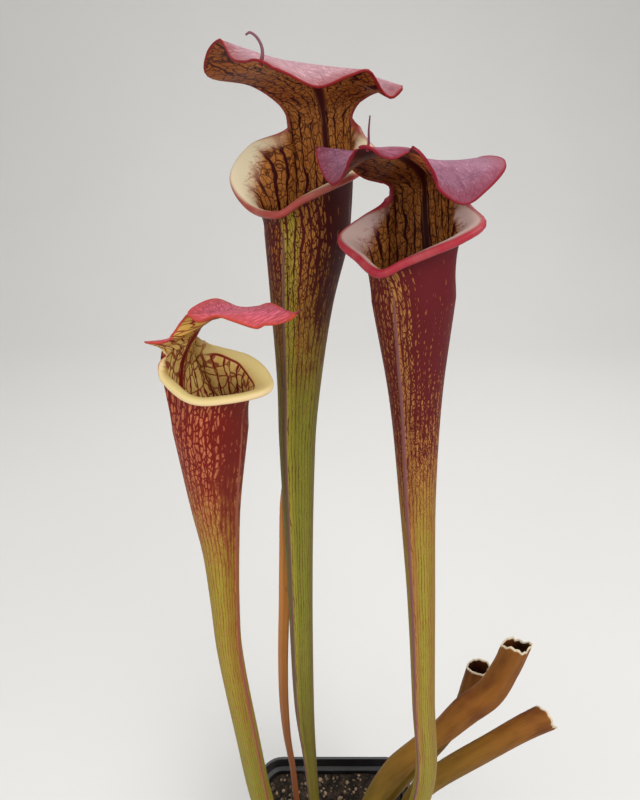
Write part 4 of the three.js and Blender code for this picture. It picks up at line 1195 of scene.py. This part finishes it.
def grains_object(count, largest, materials):
    """Rounded grains that lie on the soil, each with a tone of its own.

    Their radii lie between half of the largest and the largest, and a few are larger still.
    """
    pick = random.Random(GRAINS_SEED)
    noise.seed_set(GRAINS_SEED)
    bm = bmesh.new()
    tone = bm.verts.layers.float.new("tone")
    limit = POT_TOP_WIDTH / 2 - POT_BAND_STEP - POT_WALL - GRAINS_INSET
    for _ in range(count):
        x, y = pick.uniform(-limit, limit), pick.uniform(-limit, limit)
        size = pick.uniform(largest / 2, largest)
        size *= LARGE_GRAIN if pick.random() < LARGE_GRAIN_SHARE else 1
        if max(abs(x), abs(y)) > limit - size or math.hypot(x, y) > limit * CORNER_REACH:
            continue
        angle = pick.uniform(0, math.pi)
        turn = Matrix.Rotation(angle, 4, Vector([pick.uniform(-1, 1) for _ in range(3)]))
        shape = Matrix.Diagonal((*[size * pick.uniform(0.75, 1.25) for _ in range(3)], 1))
        place = Matrix.Translation((x, y, SOIL_LEVEL + soil_bump(x, y) + 0.35 * size))
        made = bmesh.ops.create_icosphere(bm, subdivisions=1, radius=1, matrix=place @ turn @ shape)
        shade = pick.random()
        for vertex in made["verts"]:
            vertex[tone] = shade
            vertex.co += noise.noise_vector(vertex.co * 0.9) * 0.3 * size
    made = make_object(bm, "soil_grains", materials)
    stands_for(made, None)


# ---- what a user may change


def colour_value(name, description, code):
    return bpy.props.FloatVectorProperty(
        name=name, description=description, default=srgb(code),
        subtype="COLOR", size=3, min=0, max=1,
    )


def length_value(name, description, millimetres, highest):
    return bpy.props.FloatProperty(
        name=name, description=description, default=millimetres * MM,
        min=0.1 * MM, max=highest * MM, precision=5, unit="LENGTH",
    )


def power_value(name, watts):
    return bpy.props.FloatProperty(
        name=name, description="Power of the " + name.lower(), default=watts,
        min=0, max=1000, unit="POWER",
    )


def look_group(title, column):
    """A property group with one colour for each part of a pitcher's skin."""
    colours = {
        key: colour_value(words.capitalize(), "Colour of the " + words, codes.split()[column])
        for key, (words, codes) in LOOKS.items()
    }
    return type(title, (bpy.types.PropertyGroup,), {"__annotations__": colours})


TallLook, FrontLook, ShortLook = (
    look_group(title, column) for column, title in enumerate(("TallLook", "FrontLook", "ShortLook"))
)


class PlantSettings(bpy.types.PropertyGroup):
    wall: length_value("Wall", "Thickness of the pitchers' walls", WALL, 3)
    grain_size: length_value("Grain size", "Radius of a usual large grain", GRAIN_RADIUS, 5)
    grains: bpy.props.IntProperty(
        name="Grains", description="Number of grains strewn on the soil",
        default=900, min=0, max=3000,
    )
    pot_plastic: colour_value("Pot", "Colour of the pot", "141416")
    pot_dust: colour_value("Dust", "Colour of the dust on the pot", "6e675c")
    soil_dark: colour_value("Wet soil", "Colour of the soil's hollows", "1e1712")
    soil_brown: colour_value("Soil", "Colour of the soil's lumps", "4a3b2e")
    grain_tan: colour_value("Light grains", "Colour of the lightest grains", "8c7660")
    grain_dark: colour_value("Dark grains", "Colour of the darkest grains", "2e251d")
    bark_light: colour_value("Rootstock", "Colour of the rootstock's ridges", "6b4630")
    bark_dark: colour_value("Rootstock hollows", "Colour between the ridges", "26160f")
    dry_young: colour_value("Old pitchers", "Colour of the old pitchers", "86521c")
    dry_foot: colour_value("Old pitchers' feet", "Their colour near the foot", "7c6c22")
    dry_old: colour_value("Old pitchers, dried", "Their colour in dried streaks", "5e300e")
    dry_pale: colour_value("Torn ends", "Colour of the torn ends", "cfc0a4")
    blade_upper: colour_value("Narrow leaf", "Colour of the narrow leaf", "d88c38")
    blade_lower: colour_value("Narrow leaf's foot", "Colour of its foot", "8a4a20")


class StudioSettings(bpy.types.PropertyGroup):
    key: power_value("Key light", 24)
    fill: power_value("Fill light", 11)
    top: power_value("Top light", 18)


def build_pitcher(context, name, pitcher, look):
    """A pitcher with both skins of its wall, and the thread at its lid's tip."""
    look = getattr(context.scene, look)
    skins = [finish(name, look, HABITS[name]) for finish in (outside_finish, inside_finish)]
    pitcher_object(name, pitcher, skins, context.scene.plant_settings.wall)
    hair_object(name, pitcher, [hair_finish(name + "_hair", look.edge, look.lid_net)])
    return {"FINISHED"}


class PLANT_OT_tall_pitcher(bpy.types.Operator):
    """Build the tall pitcher"""

    bl_idname = "pitcher_plant.tall_pitcher"
    bl_label = "Tall pitcher"

    def execute(self, context):
        return build_pitcher(context, "pitcher_tall", TALL, "tall_look")


class PLANT_OT_front_pitcher(bpy.types.Operator):
    """Build the pitcher that stands in front"""

    bl_idname = "pitcher_plant.front_pitcher"
    bl_label = "Front pitcher"

    def execute(self, context):
        return build_pitcher(context, "pitcher_front", FRONT, "front_look")


class PLANT_OT_short_pitcher(bpy.types.Operator):
    """Build the short pitcher"""

    bl_idname = "pitcher_plant.short_pitcher"
    bl_label = "Short pitcher"

    def execute(self, context):
        return build_pitcher(context, "pitcher_short", SHORT, "short_look")


class PLANT_OT_old_pitchers(bpy.types.Operator):
    """Build the three old pitchers that were cut back"""

    bl_idname = "pitcher_plant.old_pitchers"
    bl_label = "Old pitchers"

    def execute(self, context):
        s = context.scene.plant_settings
        for name, old in OLD_PITCHERS.items():
            end = at_end(old["route"])
            outer = dry_finish(name, s.dry_foot, s.dry_young, s.dry_old, s.dry_pale, end)
            inner = dry_finish(
                name + "_inside", s.bark_dark, s.dry_old, s.bark_dark, s.dry_pale, end
            )
            old_pitcher_object(name, old, [outer, inner], s.wall)
        return {"FINISHED"}


class PLANT_OT_narrow_leaf(bpy.types.Operator):
    """Build the narrow leaf"""

    bl_idname = "pitcher_plant.narrow_leaf"
    bl_label = "Narrow leaf"

    def execute(self, context):
        s = context.scene.plant_settings
        finish = blade_finish("narrow_leaf", s.blade_upper, s.blade_lower)
        blade_object("narrow_leaf", BLADE, [finish])
        return {"FINISHED"}


class PLANT_OT_rootstock(bpy.types.Operator):
    """Build the rootstock"""

    bl_idname = "pitcher_plant.rootstock"
    bl_label = "Rootstock"

    def execute(self, context):
        s = context.scene.plant_settings
        rootstock_object([bark_finish("rootstock", s.bark_light, s.bark_dark)])
        return {"FINISHED"}


class PLANT_OT_soil(bpy.types.Operator):
    """Build the soil and the grains on it"""

    bl_idname = "pitcher_plant.soil"
    bl_label = "Soil"

    def execute(self, context):
        s = context.scene.plant_settings
        soil_object([soil_finish("soil", s.soil_dark, s.soil_brown)])
        finish = grain_finish("soil_grains", s.grain_tan, s.grain_dark)
        grains_object(s.grains, round(s.grain_size / MM, 4), [finish])
        return {"FINISHED"}


class PLANT_OT_pot(bpy.types.Operator):
    """Build the pot"""

    bl_idname = "pitcher_plant.pot"
    bl_label = "Pot"

    def execute(self, context):
        s = context.scene.plant_settings
        pot_object([plastic_finish("pot", s.pot_plastic, s.pot_dust)])
        return {"FINISHED"}


# ---- studio

# Camera: sensor and focal length in millimetres, its place in metres, and its turn from
# looking straight down.
SENSOR = 36
FOCAL_LENGTH = 26.0
CAMERA_PLACE = (-0.012, -0.220, 0.658)
CAMERA_TURN = 60

# Lights: place and size in metres of the lamps whose power the settings hold. All look at AIM.
LAMPS = {
    "key": ((0.9, -1.2, 1.7), 1.2), "fill": ((-1.3, -1.0, 1.1), 1.6), "top": ((0.3, 0.6, 1.9), 1.4),
}
AIM = Vector((0, 0, 0.4))
SKY_COLOUR = (0.96, 0.975, 1.0)
SKY_STRENGTH = 0.48

# Backdrop, in metres: how far behind the plant it stands, the radius of its bend, its height,
# how far it reaches to each side and to the front, and the steps of its bend.
WALL_DISTANCE = 2.2
BEND = 1.0
WALL_TOP = 5.0
HALF_WIDTH = 14.0
BEND_STEPS = 16


def soft_light(name, place, size, power):
    light = bpy.data.lights.new(name, "AREA")
    light.size = size
    light.energy = power
    lamp = bpy.data.objects.new(name, light)
    lamp.location = place
    lamp.rotation_euler = (AIM - Vector(place)).to_track_quat("-Z", "Y").to_euler()
    bpy.context.scene.collection.objects.link(lamp)


def backdrop():
    """A pale floor that curves up behind the plant."""
    bend_from = WALL_DISTANCE - BEND
    profile = [(-HALF_WIDTH, 0), (-1.5, 0), (0, 0), (bend_from, 0)]
    for turn in math.pi / 2 * shares(BEND_STEPS)[1:]:
        profile.append((bend_from + BEND * math.sin(turn), BEND * (1 - math.cos(turn))))
    profile.append((WALL_DISTANCE, WALL_TOP))
    across = np.linspace(-HALF_WIDTH, HALF_WIDTH, 9)
    rows = np.array([[(x, y, z) for x in across] for y, z in profile])
    bm = bmesh.new()
    add_grid(bm, rows / MM)
    finish = Finish("backdrop")
    haze = finish.speckle(finish.place(), 3, 2.0)
    pale = finish.mix(haze, srgb("d8d6d2"), srgb("dddbd8"))
    make_object(bm, "backdrop", [finish.done(pale, 0.9, haze, 0.0001)])


class PLANT_OT_studio(bpy.types.Operator):
    """Build the pale floor, the lights and the camera"""

    bl_idname = "pitcher_plant.studio"
    bl_label = "Studio"

    def execute(self, context):
        backdrop()
        for name, (place, size) in LAMPS.items():
            power = getattr(context.scene.studio_settings, name)
            soft_light(name.capitalize() + " light", place, size, power)
        world = bpy.data.worlds.new("Studio")
        world.use_nodes = True
        sky = world.node_tree.nodes["Background"]
        feed(sky.inputs["Color"], SKY_COLOUR)
        feed(sky.inputs["Strength"], SKY_STRENGTH)
        context.scene.world = world
        context.scene.view_settings.view_transform = "Standard"
        camera = bpy.data.cameras.new("Camera")
        camera.sensor_width = SENSOR
        camera.lens = FOCAL_LENGTH
        eye = bpy.data.objects.new("Camera", camera)
        eye.location = CAMERA_PLACE
        eye.rotation_euler = (math.radians(CAMERA_TURN), 0, 0)
        context.scene.collection.objects.link(eye)
        context.scene.camera = eye
        return {"FINISHED"}


class PLANT_PT_panel(bpy.types.Panel):
    """Lists the pieces in the sidebar"""

    bl_idname = "PLANT_PT_panel"
    bl_label = "Pitcher plant"
    bl_space_type = "VIEW_3D"
    bl_region_type = "UI"
    bl_category = "Pitcher Plant"

    def draw(self, context):
        for operator in OPERATORS:
            self.layout.operator(operator.bl_idname)
        for group in GROUPS:
            settings = getattr(context.scene, group)
            for key in settings.__annotations__:
                self.layout.prop(settings, key)


OPERATORS = [
    PLANT_OT_pot, PLANT_OT_soil, PLANT_OT_rootstock, PLANT_OT_tall_pitcher, PLANT_OT_front_pitcher,
    PLANT_OT_short_pitcher, PLANT_OT_old_pitchers, PLANT_OT_narrow_leaf, PLANT_OT_studio,
]
GROUPS = {
    "plant_settings": PlantSettings, "tall_look": TallLook, "front_look": FrontLook,
    "short_look": ShortLook, "studio_settings": StudioSettings,
}


def register():
    for made in (*GROUPS.values(), *OPERATORS, PLANT_PT_panel):
        bpy.utils.register_class(made)
    for name, group in GROUPS.items():
        setattr(bpy.types.Scene, name, bpy.props.PointerProperty(type=group))


def unregister():
    for name in GROUPS:
        delattr(bpy.types.Scene, name)
    for made in (PLANT_PT_panel, *reversed(OPERATORS), *reversed(GROUPS.values())):
        bpy.utils.unregister_class(made)


def main():
    register()
    for operator in OPERATORS:
        getattr(bpy.ops.pitcher_plant, operator.bl_idname.split(".")[1])()


if __name__ == "__main__":
    main()
